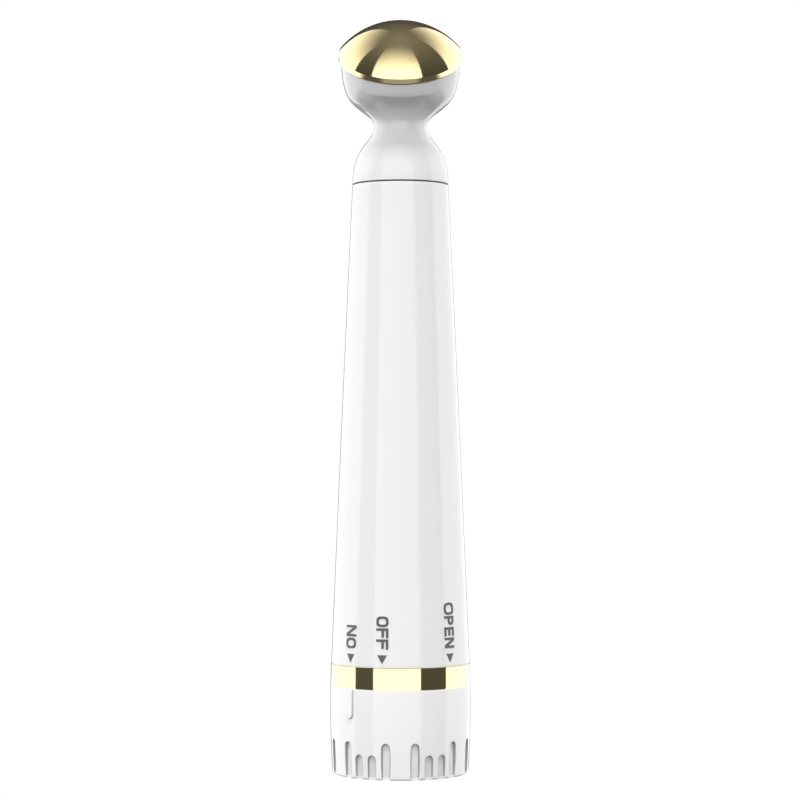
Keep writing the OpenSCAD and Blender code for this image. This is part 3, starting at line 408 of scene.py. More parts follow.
# %% Neck outline, still straight
WAIST_Z = neck_low + 10.3 * MM
WAIST_R = 4.68 * MM
SHOULDER_R = 8.6 * MM
SHOULDER_H = WAIST_Z - neck_low
CUP_R = 10.58 * MM
CUP_RISE = 11.5 * MM
NECK_STRAIGHT = 2.4 * MM
HEAD_TILT = radians(32.5)
BEND_R = (CUP_RISE - NECK_STRAIGHT) / sin(HEAD_TILT)
SPINE = NECK_STRAIGHT + BEND_R * HEAD_TILT
NECK_WALL = 1.4 * MM
PLUG_R = handle_radius(body_top) - HANDLE_WALL - 0.05 * MM
PLUG_H = 6.7 * MM  # depth of the neck's plug in the handle
PLUG_WALL = 1.1 * MM
FLARE_ANGLE = radians(39)
SEAM_LAP = 0.16 * MM  # how far the shoulder's edge comes down over the seal


def curve(corners, t):
    """Point at t on the cubic curve with four corners."""
    a, b, c, d = (Vector(p) for p in corners)
    return (1 - t) ** 3 * a + 3 * (1 - t) ** 2 * t * b + 3 * (1 - t) * t * t * c + t**3 * d


flare = Vector((7.45 * MM, 3 * MM))  # radius and height where the flare becomes the bowl
flare_way = Vector((cos(FLARE_ANGLE), sin(FLARE_ANGLE))) * MM
shoulder_side = [(SHOULDER_R, -SHOULDER_H), (SHOULDER_R, -SHOULDER_H * 0.34),
                 (WAIST_R, -SHOULDER_H * 0.27), (WAIST_R, 0)]
flare_side = [(WAIST_R, 0), (WAIST_R, 1.2 * MM), flare - flare_way, flare]
bowl_side = [flare, flare + 2.1 * flare_way, (CUP_R, SPINE * 0.45), (CUP_R, SPINE)]
all_sides = [shoulder_side, flare_side, bowl_side]


def side_point(u, inset=0.0):
    """Point at u, from 0 to 3, along the three curves, moved inwards by the inset."""
    side = min(int(u), 2)
    t = u - side
    here = curve(all_sides[side], t)
    way = curve(all_sides[side], min(t + 0.01, 1)) - curve(all_sides[side], max(t - 0.01, 0))
    way.normalize()
    return here + inset * Vector((-way.y, way.x))


def neck_outline():
    plug_low = -SHOULDER_H - PLUG_H
    foot = [(PLUG_R - PLUG_WALL, plug_low, 0.1 * MM), (PLUG_R, plug_low, 0.2 * MM),
            (PLUG_R, -SHOULDER_H - SEAM_LAP, 0), (SHOULDER_R, -SHOULDER_H - SEAM_LAP, 0.06 * MM)]
    outside = [(*side_point(u), 0) for u in steps(0, 2.985, 150)]
    rim = [(CUP_R, SPINE, 0.08 * MM), (CUP_R - NECK_WALL, SPINE, 0.1 * MM)]
    inside = [(*side_point(u, NECK_WALL), 0) for u in steps(2.9, 0.25, 24)]
    return [(r, WAIST_Z + l) for r, l in rounded(foot + outside + rim + inside)]


print(f"the neck's axis is {SPINE / MM:.2f} mm long above the waist")

# %% [markdown]
# ## Helpers for geometry trees
#
# Three pieces of the wand follow a rule, and each gets a tree with its sizes as named
# inputs. All trees begin and end alike, so that part is written once. A tree could stay on
# the object as a live modifier, but the export needs plain meshes, so it is run at once.

# %% Helpers for geometry trees
def geometry_tree(name, inputs):
    """A tree with the named inputs: (graph, the input sockets, the output node)."""
    made = bpy.data.node_groups.new(name, "GeometryNodeTree")
    made.interface.new_socket("Geometry", in_out="INPUT", socket_type="NodeSocketGeometry")
    for label, kind in inputs.items():
        made.interface.new_socket(label, in_out="INPUT", socket_type=f"NodeSocket{kind}")
    made.interface.new_socket("Geometry", in_out="OUTPUT", socket_type="NodeSocketGeometry")
    entry = made.nodes.new("NodeGroupInput")
    given = {out.name: Socket(made, out) for out in entry.outputs if out.name}
    return Socket(made), given, made.nodes.new("NodeGroupOutput")


def end_tree(graph, exit_node, shape, material):
    """Real points instead of instances, the material, and the tree's output."""
    solid = graph.node("GeometryNodeRealizeInstances", inputs={"Geometry": shape})
    painted = graph.node("GeometryNodeSetMaterial", inputs={"Geometry": solid, "Material": material})
    graph.tree.links.new(painted.out, exit_node.inputs["Geometry"])


def run_tree(piece, tree, material, **values):
    """Runs the tree on the piece with the given inputs and keeps the result as its plain mesh."""
    modifier = piece.modifiers.new(tree.name, "NODES")
    modifier.node_group = tree
    for item in tree.interface.items_tree:
        if item.in_out == "INPUT" and item.name.replace(" ", "_") in values:
            modifier[item.identifier] = values[item.name.replace(" ", "_")]
    bpy.context.view_layer.update()
    evaluated = piece.evaluated_get(bpy.context.evaluated_depsgraph_get())
    mesh = bpy.data.meshes.new_from_object(evaluated)
    piece.modifiers.remove(modifier)
    piece.data = mesh
    mesh.name = piece.name
    mesh.materials.clear()
    mesh.materials.append(material)
    mesh.shade_smooth()
    mesh.set_sharp_from_angle(angle=SHARP)
    print(f"{piece.name}: tree {tree.name} left {len(mesh.polygons)} faces")


print("tree helpers ready")

# %% [markdown]
# ## Leaning the neck
#
# Above the waist the neck's axis is straight for a moment and then bends forward on an
# arc. Each point moves by one formula: its height along the straight axis becomes an angle
# on the arc. A Simple Deform modifier bends too, but its limits are shares of the piece's
# box, while the tree's inputs are real sizes.

# %% Geometry tree that leans the neck
def leaning_tree(material):
    graph, given, exit_node = geometry_tree("Lean the neck", {
        "Waist": "Float", "Straight": "Float", "Bend radius": "Float"})
    x, y, z = axes(graph, graph.node("GeometryNodeInputPosition"))
    past = z - given["Waist"] - given["Straight"]
    lean = graph.math("MAXIMUM", past, 0.0) / given["Bend radius"]
    level = graph.math("MINIMUM", z, given["Waist"] + given["Straight"])
    sine = graph.math("SINE", lean)
    cosine = graph.math("COSINE", lean)
    bent_y = y * cosine - given["Bend radius"] * (1 - cosine)
    bent_z = level + given["Bend radius"] * sine + y * sine
    there = graph.node("ShaderNodeCombineXYZ", inputs={"X": x, "Y": bent_y, "Z": bent_z})
    moved = graph.node("GeometryNodeSetPosition", inputs={
        "Geometry": given["Geometry"], "Position": there})
    end_tree(graph, exit_node, moved, material)
    return graph.tree


print("axis bends at a radius of", round(BEND_R / MM, 2), "mm")

# %% [markdown]
# ## The neck's finish
#
# The neck is the handle's white plastic. Its lip catches more light, and the chin under the cup and the
# shoulder under the waist lie in more shade than soft lamps give them. So three soft masks paint that into
# the colour a little: a painted highlight on the lip, and painted shade on the chin and on the shoulder.
# They are worked out from the place: the height for the shoulder, and the distance below the cup's rim for
# lip and chin.

# %% Neck and cup
HEAD_Y = -BEND_R * (1 - cos(HEAD_TILT))
HEAD_Z = WAIST_Z + CUP_RISE
LIP_LOW, LIP_HIGH = -2.7 * MM, -2.2 * MM  # measured from the rim's plane along the head's axis
CHIN_LOW, CHIN_HIGH = -9 * MM, -5 * MM
CHIN_FRONT, CHIN_BACK = -7 * MM, -3.5 * MM  # measured along Y from the head's middle
SIDE_IN, SIDE_OUT = 2.5 * MM, 8.5 * MM  # to each side; lip and chin fade out between these
# Heights where the shoulder's painted shade comes in and fades out.
SHADE_IN = (neck_low + 0.2 * MM, neck_low + 6.7 * MM)
SHADE_OUT = (neck_low + 6.3 * MM, neck_low + 7.6 * MM)
# Painted shade for the shoulder and the chin, and a painted highlight for the lip.
SHOULDER_PAINTED_SHADE = grey(0.715, 0.002)
CHIN_PAINTED_SHADE = grey(0.66, 0.002)
LIP_PAINTED_HIGHLIGHT = grey(0.965, 0.005)


def cup_painted_shading_look(graph, place):
    """White plastic with a painted highlight on the lip and painted shade on the chin and upper shoulder."""
    x, y, z = axes(graph, place)
    along = (z - HEAD_Z) * cos(HEAD_TILT) - (y - HEAD_Y) * sin(HEAD_TILT)
    front = 1 - graph.math("ABSOLUTE", x).rise(SIDE_IN, SIDE_OUT)
    lip = along.rise(LIP_LOW, LIP_HIGH)
    below = (1 - lip) * along.rise(CHIN_LOW, CHIN_HIGH)
    chin = front * below * (1 - (y - HEAD_Y).rise(CHIN_FRONT, CHIN_BACK))
    shoulder = z.rise(*SHADE_IN) * (1 - z.rise(*SHADE_OUT))
    look = white_look(graph, place)
    # The painted shade and the painted highlight go into the base colour.
    shaded = blend_colour(graph, shoulder, look["Base Color"], SHOULDER_PAINTED_SHADE)
    bright = blend_colour(graph, lip * front, shaded, LIP_PAINTED_HIGHLIGHT)
    look["Base Color"] = blend_colour(graph, chin, bright, CHIN_PAINTED_SHADE)
    return look


cup_plastic = finish("cup_plastic", cup_painted_shading_look, white_bump, IOR=1.5)
neck = turned("neck_and_cup", neck_outline(), cup_plastic)
run_tree(neck, leaning_tree(cup_plastic), cup_plastic,
         Waist=WAIST_Z, Straight=NECK_STRAIGHT, Bend_radius=BEND_R)
dress(neck, "handle", "white_shell", "neck_housing")

# %% [markdown]
# ## The gold dome
#
# The dome is a shallow cap of a ball with a short upright rim and a tiny rounded corner
# between them. The corner is where the bright rim line comes from, so its arc runs into
# the ball without a kink. It is turned like the handle, then placed in the head's frame,
# whose +Z points out through the dome.

# %% Dome
DOME_R = 11.045 * MM
DOME_RIM = 0.93 * MM
DOME_EDGE = 0.2 * MM
DOME_BALL = 14.23 * MM
DOME_WALL = 0.9 * MM
SEAL_T = 0.3 * MM
DOME_LIFT = 0.1 * MM  # the dome's foot over the seal
DOME_FOOT = 0.04 * MM  # bevel of the foot
SKIRT_R = 8.7 * MM
SKIRT_WALL = 0.8 * MM
SKIRT_LOW = -2.4 * MM
head = Matrix.Translation((0, HEAD_Y, HEAD_Z)) @ Matrix.Rotation(HEAD_TILT, 4, "X")


def dome_outline():
    knee_r = DOME_R - DOME_EDGE
    knee_z = SEAL_T + DOME_RIM
    foot_z = SEAL_T + DOME_LIFT
    centre = knee_z - sqrt((DOME_BALL - DOME_EDGE) ** 2 - knee_r**2)
    meet = atan2(knee_r, knee_z - centre)
    inner_ball = DOME_BALL - DOME_WALL
    skirt_in = SKIRT_R - SKIRT_WALL
    turn_in = asin(skirt_in / inner_ball)
    corner = [(knee_r + DOME_EDGE * sin(a), knee_z + DOME_EDGE * cos(a))
              for a in steps(pi / 2, meet, 8)]
    ball = [(DOME_BALL * sin(a), centre + DOME_BALL * cos(a)) for a in steps(meet, 0, 64)[1:]]
    hollow = [(inner_ball * sin(a), centre + inner_ball * cos(a)) for a in steps(0, turn_in, 16)]
    low = [(skirt_in, SKIRT_LOW), (SKIRT_R, SKIRT_LOW), (SKIRT_R, foot_z)]
    foot = [(DOME_R - DOME_FOOT, foot_z), (DOME_R, foot_z + DOME_FOOT)]
    return foot + corner + ball + hollow + low


dome = turned("gold_dome", dome_outline(), gold_plate, place=head)
dress(dome, "handle", "gold_plate", "massage_head")

# %% [markdown]
# ## The gold ring
#
# A plated band sits flush in the top of the cap. It is pressed on, so its lower edge meets
# the white plastic without a gap. Both of its outer edges are only barely broken, because
# a wide bevel would draw a dark line where the real band has none.

# %% Gold ring
BAND_LAP = 0.1 * MM  # how far the cap's white edge comes up over the band
BAND_T = 0.75 * MM
SEAM_GAP = 0.035 * MM  # between the band and the handle


def ring_outline():
    inner, foot = CAP_LIP_R - BAND_T, ring_low + BAND_LAP
    top = body_low - SEAM_GAP
    side = [(cap_radius(z), z, 0) for z in steps(foot + 0.3 * MM, seam_low - 0.3 * MM, 12)]
    return rounded([(inner, foot, 0), (cap_radius(foot), foot, 0.02 * MM)]
                   + side + [(cap_radius(seam_low), top, 0.01 * MM), (inner, top, 0)])


gold_ring = turned("gold_band", ring_outline(), gold_plate)
dress(gold_ring, "battery_cap", "gold_plate", "gold_ring")

# %% [markdown]
# ## The battery cap and its grip grooves
#
# The cap is a thick-walled pot with a seat for the gold ring. Its wall is turned first,
# as smooth as the handle. Six groups of four grooves are then cut into it: long, short,
# short, long, with a bare place between the groups.

# %% Cap outline
GROOVE_W = 1.34 * MM
GROOVE_FLOOR = 11.9 * MM  # radius
GROOVE_LONG = 6.34 * MM  # height of a groove's upper end
GROOVE_SHORT = 4.19 * MM
GROOVE_EDGE = 0.2 * MM
GROOVE_FILLET = 0.14 * MM
CAP_WALL = 1.65 * MM
CAP_FLOOR = 1.6 * MM
RING_SEAT = 0.8 * MM  # depth of the ring's seat


def cap_outline():
    seat = CAP_LIP_R - RING_SEAT
    bore = cap_radius(ring_low) - CAP_WALL
    base = [(0, 0, 0), (cap_radius(CAP_EDGE), 0, CAP_EDGE)]
    side = [(cap_radius(z), z, 0) for z in steps(CAP_EDGE * 2.2, ring_low - 0.3 * MM, 34)]
    edge = ring_low + BAND_LAP
    top = [(cap_radius(edge), edge, 0.02 * MM), (seat, edge, 0),
           (seat, seam_low, 0), (bore, seam_low, 0), (bore, CAP_FLOOR, 0), (0, CAP_FLOOR, 0)]
    return rounded(base + side + top, 6)


print(f"cap outline: {len(cap_outline())} points")

# %% [markdown]
# ## The cap's finish
#
# Cap, grooves and bar are one white moulding. The steep walls of the grooves and the edge of the bar lie in
# shade, which soft lamps don't give to walls this small. So the finish paints that shade into the colour:
# the walls and the bar's edge greyer, and the floors of the grooves a little, darker towards the foot. The
# whole cap is also painted a touch whiter than the handle, as painted light. The masks work out how far each
# place lies under or over the cap's side, by the side's own law.

# %% Cap finish
SUNK = (0.001 * MM, 0.012 * MM)  # from this depth under the side a place is in a groove
FLOOR_END = (GROOVE_FLOOR + 0.025 * MM, GROOVE_FLOOR + 0.06 * MM)  # radius where walls begin
GROOVES_LOW = (0.35 * MM, 0.6 * MM)
GROOVES_HIGH = (7 * MM, 7.3 * MM)
BAR_EDGE_ZONE = (-0.28 * MM, -0.006 * MM, 0.01 * MM)  # of the depth; negative is over the side
BAR_LOW = (10 * MM, 10.5 * MM)
FLOOR_FADE = (0.5 * MM, 6 * MM)
# Painted light: the whole cap is painted a touch whiter than the handle.
CAP_PAINTED_LIGHT = 0.05
# Painted shade for the groove walls, the groove floors (darker towards the foot) and the bar's edge.
WALL_PAINTED_SHADE = grey(0.40, 0.005)
GROOVE_FLOOR_PAINTED_SHADES = (grey(0.76), grey(0.88))  # at the foot and at the top of a groove
BAR_EDGE_PAINTED_SHADE = grey(0.58, 0.005)


def cap_painted_shading_look(graph, place):
    """White plastic, painted a touch whiter, with painted shade on the walls and floors of the grooves and
    on the bar's edge.
    """
    x, y, z = axes(graph, place)
    below = graph.math("MAXIMUM", 1 - z / CAP_BELLY_Z, 0.0)
    above = graph.math("MAXIMUM", (z - CAP_BELLY_Z) / (seam_low - CAP_BELLY_Z), 0.0)
    side = (CAP_BELLY_R - (CAP_BELLY_R - CAP_FOOT_R) * (below * below)
            - (CAP_BELLY_R - CAP_LIP_R) * (above * above))
    radius = graph.math("SQRT", x * x + y * y)
    depth = side - radius
    # Masks for the painted shade: inside a groove, on its walls, and on the bar's edge.
    inside = depth.rise(*SUNK) * (z.rise(*GROOVES_LOW) * (1 - z.rise(*GROOVES_HIGH)))
    wall = inside * radius.rise(*FLOOR_END)
    bar = depth.between(*BAR_EDGE_ZONE) * z.rise(*BAR_LOW)
    look = white_look(graph, place, CAP_PAINTED_LIGHT)
    bottom = blend_colour(graph, z.rise(*FLOOR_FADE), *GROOVE_FLOOR_PAINTED_SHADES)
    sunk = blend_colour(graph, inside, look["Base Color"], bottom)
    walls = blend_colour(graph, wall, sunk, WALL_PAINTED_SHADE)
    look["Base Color"] = blend_colour(graph, bar, walls, BAR_EDGE_PAINTED_SHADE)
    return look


cap_plastic = finish("cap_plastic", cap_painted_shading_look, white_bump, IOR=1.5)
cap_wall = turned("cap_wall", cap_outline(), cap_plastic, sides=320)
print("cap wall:", len(cap_wall.data.polygons), "faces before the cut")

# %% [markdown]
# ## Slot shapes
#
# A groove and the position bar have the same form: an upright slot with round ends, on a
# curved wall. A box with a Bevel modifier has flat faces, which don't follow the wall. So
# each level of the shape is one loop of points, placed on the wall by a formula, and a
# closed solid is stacked through the loops. A cutter flares out where it meets the wall,
# and the groove's edge comes out rounded, as moulded.

# %% Slot-shaped solids, for the cutters and for the position bar
CUTTER_LOW = -1.2 * MM  # the grooves run out through the cap's foot


def slot_loop(half, low, high, radius, arc=10):
    """Loop of points round an upright slot on the front; radius(x, z) gives each its depth."""
    loop = []
    for side, z in ((0, high), (pi, low)):
        centre = z - half if z == high else z + half
        for k in range(arc + 1):
            a = side + pi * k / arc
            loop.append((half * cos(a), centre + half * sin(a)))
    return [(x, -radius(x, z), z) for x, z in loop]


def stacked(name, loops, material=None):
    """Closed solid through the loops, from the innermost to the outermost."""
    count = len(loops[0])
    points = [p for loop in loops for p in loop]
    faces = [list(range(count))[::-1], [len(points) - count + k for k in range(count)]]
    for i in range(len(loops) - 1):
        for k in range(count):
            m = (k + 1) % count
            faces.append([i * count + k, i * count + m, (i + 1) * count + m, (i + 1) * count + k])
    mesh = bpy.data.meshes.new(name)
    mesh.from_pydata(points, [], faces)
    shape = bmesh.new()
    shape.from_mesh(mesh)
    bmesh.ops.recalc_face_normals(shape, faces=shape.faces)
    shape.to_mesh(mesh)
    shape.free()
    return add_piece(name, mesh, material)


def wall_depth(x, z):
    """Distance of the cap's wall from the plane of the axis, at x beside the slot's middle."""
    return sqrt(cap_radius(z) ** 2 - x * x)


def groove_cutter(name, high):
    """Groove with a flat floor, a small fillet round it and a rounded upper edge."""
    half, low, fillet, edge = GROOVE_W / 2, CUTTER_LOW, GROOVE_FILLET, GROOVE_EDGE
    loops = []
    for a in steps(0, pi / 2, 4):
        inset, depth = fillet * (1 - sin(a)), GROOVE_FLOOR + fillet * (1 - cos(a))
        loops.append(slot_loop(half - inset, low, high - inset, lambda x, z: depth))
    for a in steps(0, pi / 2, 6):
        out, drop = edge * (1 - cos(a)), edge * (1 - sin(a)) - 0.008 * MM
        loops.append(slot_loop(half + out, low, high + out, lambda x, z: wall_depth(x, z) - drop))
    loops.append(slot_loop(half + edge * 1.1, low, high + edge * 1.1,
                           lambda x, z: wall_depth(x, z) + 0.5 * MM))
    return stacked(name, loops)


cutters = [groove_cutter("long_cutter", GROOVE_LONG), groove_cutter("short_cutter", GROOVE_SHORT)]
print("cutters:", [len(c.data.polygons) for c in cutters])

# %% [markdown]
# ## Cutting the grooves
#
# Cutting the grooves one by one in a loop would work, but what repeats is a job for
# Geometry Nodes. The tree makes a point for each groove, puts a long or a short cutter on
# it, turns it to its angle and takes them all from the wall in one exact Mesh Boolean.

# %% Geometry tree that cuts the grooves
def groove_tree(material):
    graph, given, exit_node = geometry_tree("Cut the grooves", {
        "Groups": "Int", "Per group": "Int", "Pitch": "Float", "Long": "Object", "Short": "Object"})
    index = graph.node("GeometryNodeInputIndex")
    group = graph.math("FLOOR", index / given["Per group"])
    within = index - group * given["Per group"]
    angle = group / given["Groups"] * (2 * pi) + given["Pitch"] * (within + 1.0)
    middle = (given["Per group"] - 1.0) / 2.0
    outer = graph.math("GREATER_THAN", graph.math("ABSOLUTE", within - middle), 1.0)
    points = graph.node("GeometryNodePoints", inputs={"Count": given["Groups"] * given["Per group"]})
    turn = graph.node("ShaderNodeCombineXYZ", inputs={"Z": angle})
    shapes = graph.node("GeometryNodeJoinGeometry")
    for label in ("Long", "Short"):
        cutter = graph.node("GeometryNodeObjectInfo", {"transform_space": "ORIGINAL"}, {
            "Object": given[label], "As Instance": True}, "Geometry")
        graph.tree.links.new(cutter.out, shapes.out.node.inputs["Geometry"])
    placed = graph.node("GeometryNodeInstanceOnPoints", inputs={
        "Points": points, "Instance": shapes, "Pick Instance": True,
        "Instance Index": outer, "Rotation": turn})
    cut = graph.node("GeometryNodeMeshBoolean", {"operation": "DIFFERENCE", "solver": "EXACT"}, {
        "Mesh 1": given["Geometry"], "Mesh 2": placed}, "Mesh")
    end_tree(graph, exit_node, cut, material)
    return graph.tree


run_tree(cap_wall, groove_tree(cap_plastic), cap_plastic,
         Groups=6, Per_group=4, Pitch=radians(12), Long=cutters[0], Short=cutters[1])
for cutter in cutters:
    bpy.data.objects.remove(cutter)
dress(cap_wall, "battery_cap", "white_shell", "cap_shell")

# %% [markdown]
# ## The position bar
#
# A short raised bar under the gold ring points at ON, OFF or OPEN as the cap turns. It is
# the groove's opposite: the same slot shape, but proud of the wall, with a soft upper edge
# and a small fillet at its foot. Its upper end is cut off level with the ring.

# %% Position bar
BAR_W = 1.5 * MM
BAR_LEN = 5.08 * MM
BAR_PROUD = 0.31 * MM
BAR_FILLET = 0.22 * MM
BAR_EDGE = 0.07 * MM
BAR_ROOT = 0.4 * MM  # how deep the bar reaches into the wall
BAR_ANGLE = radians(-45)


def position_bar():
    half, low, high = BAR_W / 2, ring_low - BAR_LEN, ring_low + 2 * MM
    fillet, edge = BAR_FILLET, BAR_EDGE
    loops = [slot_loop(half + fillet, low - fillet, high, lambda x, z: wall_depth(x, z) - BAR_ROOT)]
    for a in steps(0, pi / 2, 4):
        out, lift = fillet * (1 - sin(a)), fillet * (1 - cos(a)) - 0.01 * MM
        loops.append(slot_loop(half + out, low - out, high, lambda x, z: wall_depth(x, z) + lift))
    for a in steps(0, pi / 2, 6):
        inset, lift = edge * (1 - cos(a)), BAR_PROUD - edge * (1 - sin(a))
        loops.append(slot_loop(half - inset, low + inset, high, lambda x, z: wall_depth(x, z) + lift))
    for share in (0.6, 0.3, 0.06):
        inset = mix(half, edge, share)
        loops.append(slot_loop(half - inset, low + inset, high,
                               lambda x, z: wall_depth(x, z) + BAR_PROUD))
    bar = stacked("position_bar", loops, cap_plastic)
    shape = bmesh.new()
    shape.from_mesh(bar.data)
    cut = bmesh.ops.bisect_plane(
        shape, geom=shape.verts[:] + shape.edges[:] + shape.faces[:],
        plane_co=(0, 0, ring_low - 0.03 * MM), plane_no=(0, 0, 1), clear_outer=True)
    rim = [e for e in cut["geom_cut"] if isinstance(e, bmesh.types.BMEdge)]
    bmesh.ops.holes_fill(shape, edges=rim)
    bmesh.ops.recalc_face_normals(shape, faces=shape.faces)
    shape.to_mesh(bar.data)
    shape.free()
    bar.data.transform(Matrix.Rotation(BAR_ANGLE, 4, "Z"))
    bar.data.set_sharp_from_angle(angle=SHARP)
    return bar


dress(position_bar(), "battery_cap", "white_shell")

# %% [markdown]
# ## The words on the handle
#
# Three generic words, ON, OFF and OPEN, are printed in raised grey ink above the seam,
# each with a triangle that points down at the bar. A text object could be used, but its
# font would not have these plain, even strokes. So each letter is an outline, worked out
# from its width, its height and the stroke.

# %% Letter outlines
STROKE = 0.42 * MM
O_SQUARE = 2.9  # 2 would make the O an ellipse; its corners fill out above that
O_POINTS = 40


def letter_n(w, h):
    t, slant = STROKE, 1.25 * STROKE
    level = h * t / (w - slant)
    return [[(0, 0), (0, h), (slant, h), (w - t, level), (w - t, h), (w, h),
             (w, 0), (w - slant, 0), (t, h - level), (t, 0)]]


def letter_f(w, h):
    t, arm = STROKE, h * 0.54
    return [[(0, 0), (0, h), (w, h), (w, h - t), (t, h - t), (t, arm + t / 2),
             (0.92 * w, arm + t / 2), (0.92 * w, arm - t / 2), (t, arm - t / 2), (t, 0)]]


def letter_e(w, h):
    t, arm = STROKE, h * 0.5
    return [[(0, 0), (0, h), (w, h), (w, h - t), (t, h - t), (t, arm + t / 2),
             (0.95 * w, arm + t / 2), (0.95 * w, arm - t / 2), (t, arm - t / 2),
             (t, t), (w, t), (w, 0)]]


def letter_p(w, h):
    t, bowl = STROKE, h * 0.31

    def half_round(radius):
        return [(w - bowl + radius * cos(a), h - bowl + radius * sin(a))
                for a in steps(pi / 2, -pi / 2, 12)]

    outer = [(0, 0), (0, h)] + half_round(bowl) + [(t, h - 2 * bowl), (t, 0)]
    inner = [(t, h - t)] + half_round(bowl - t) + [(t, h - 2 * bowl + t)]
    return [outer, inner]


def squared(value):
    """The cosine or sine of an ellipse's point, pushed out towards the corners."""
    return abs(value) ** (2 / O_SQUARE) * (1 if value > 0 else -1)


def letter_o(w, h):
    loops = []
    for inset in (0, STROKE):
        a, b = w / 2 - inset, h / 2 - inset
        turn = [2 * pi * k / O_POINTS for k in range(O_POINTS)]
        loops.append([(w / 2 + a * squared(cos(f)), h / 2 + b * squared(sin(f))) for f in turn])
    return loops


LETTERS = {"N": letter_n, "F": letter_f, "P": letter_p, "E": letter_e, "O": letter_o}
print("letters:", *LETTERS, "with a stroke of", STROKE / MM, "mm")

# %% [markdown]
# ## Printing on the cone
#
# A word's outlines fill one flat curve with a small bevel, which is the soft edge of the
# ink. A flat face can't bend, so the mesh is sliced into narrow strips, and each point is
# then moved onto the cone by its arc and its height. Shrinkwrap would do this too, but it
# would flatten the ink.

# %% Words, sliced and wrapped on the cone
INK_RAISE = 0.09 * MM
INK_EDGE = 0.02 * MM
INK_UNDER = -0.2 * INK_RAISE  # the ink's underside stays just inside the handle
HALF_WORD = 1.5 * MM  # the words are sliced as far as this to each side
SAME_POINT = 0.0005 * MM


def dark_look(graph, place):
    cloud = noise(graph, place, 0.6 * MM, 3.0)
    return {"Base Color": blend_colour(graph, cloud, grey(0.080, 0.002), grey(0.110, 0.002)),
            "Roughness": 0.42 + 0.16 * cloud}


def ink_bump(graph, place):
    return noise(graph, place, 0.08 * MM, 2.0), 0.006 * MM, 0.4


grey_ink = finish("grey_ink", dark_look, ink_bump)


def printed(name, outlines, angle):
    """Outlines of (arc, height) points become raised ink at the angle from the front."""
    flat = bpy.data.curves.new(name, "CURVE")
    flat.dimensions = "2D"
    flat.fill_mode = "BOTH"
    flat.extrude = INK_RAISE
    flat.bevel_depth = INK_EDGE
    flat.bevel_resolution = 2
    flat.offset = -flat.bevel_depth
    for outline in outlines:
        spline = flat.splines.new("POLY")
        spline.points.add(len(outline) - 1)
        spline.use_cyclic_u = True
        for point, (s, z) in zip(spline.points, outline):
            point.co = (s, z, 0, 1)
    carrier = bpy.data.objects.new(name, flat)
    bpy.context.scene.collection.objects.link(carrier)
    bpy.context.view_layer.update()
    evaluated = carrier.evaluated_get(bpy.context.evaluated_depsgraph_get())
    mesh = bpy.data.meshes.new_from_object(evaluated)
    bpy.data.objects.remove(carrier)
    shape = bmesh.new()
    shape.from_mesh(mesh)
    bmesh.ops.remove_doubles(shape, verts=shape.verts, dist=SAME_POINT)
    for s in steps(-HALF_WORD, HALF_WORD, 12):
        bmesh.ops.bisect_plane(shape, geom=shape.verts[:] + shape.edges[:] + shape.faces[:],
                               plane_co=(s, 0, 0), plane_no=(1, 0, 0))
    for vertex in shape.verts:
        s, z, lift = vertex.co
        radius = handle_radius(z) + max(lift, INK_UNDER)
        f = angle + s / handle_radius(z)
        vertex.co = (radius * sin(f), -radius * cos(f), z)
    bmesh.ops.recalc_face_normals(shape, faces=shape.faces)
    shape.to_mesh(mesh)
    shape.free()
    return add_piece(name, mesh, grey_ink)


def turned_down(loops, top):
    """Loops of a letter, turned a quarter so that the word reads down the handle."""
    height = max(v for loop in loops for _, v in loop)
    return [[(v - height / 2, top - u) for u, v in loop] for loop in loops]


WORDS = {
    # word: degrees from the front, then in mm: the letters' height,
    # [(letter, its upper end, its lower end)], upper edge of the triangle
    "word_on": (-45.2, 2.36, [("N", 26.94, 24.97), ("O", 24.74, 22.87)], 21.90),
    "word_off": (-15.1, 2.19, [("O", 28.67, 26.80), ("F", 26.58, 24.86), ("F", 24.66, 22.90)], 21.90),
    "word_open": (45.0, 2.29, [("O", 30.90, 28.74), ("P", 28.52, 26.94), ("E", 26.57, 24.99),
                               ("N", 24.74, 22.92)], 21.95),
}
TRIANGLE_W = 1.68 * MM
TRIANGLE_H = 1.48 * MM


def word_outlines(height, letters, triangle_top):
    """The outlines of the word's letters and of the triangle under them."""
    outlines = []
    for letter, top, bottom in letters:
        loops = LETTERS[letter]((top - bottom) * MM, height)
        outlines += turned_down(loops, top * MM)
    z = triangle_top * MM
    outlines.append([(-TRIANGLE_W / 2, z), (TRIANGLE_W / 2, z), (0, z - TRIANGLE_H)])
    return outlines


for name, (angle, height, letters, triangle_top) in WORDS.items():
    word = printed(name, word_outlines(height * MM, letters, triangle_top), radians(angle))
    dress(word, "handle", "dark_seal")

# %% [markdown]
# ## The battery spring
#
# The spring shows when the cap is off. It is a conical coil whose last turns lie flat, so
# that the cell stands straight on it. A spring follows a rule, so a tree makes it: a line
# of points is moved onto the cone by formulas and swept with a round wire.

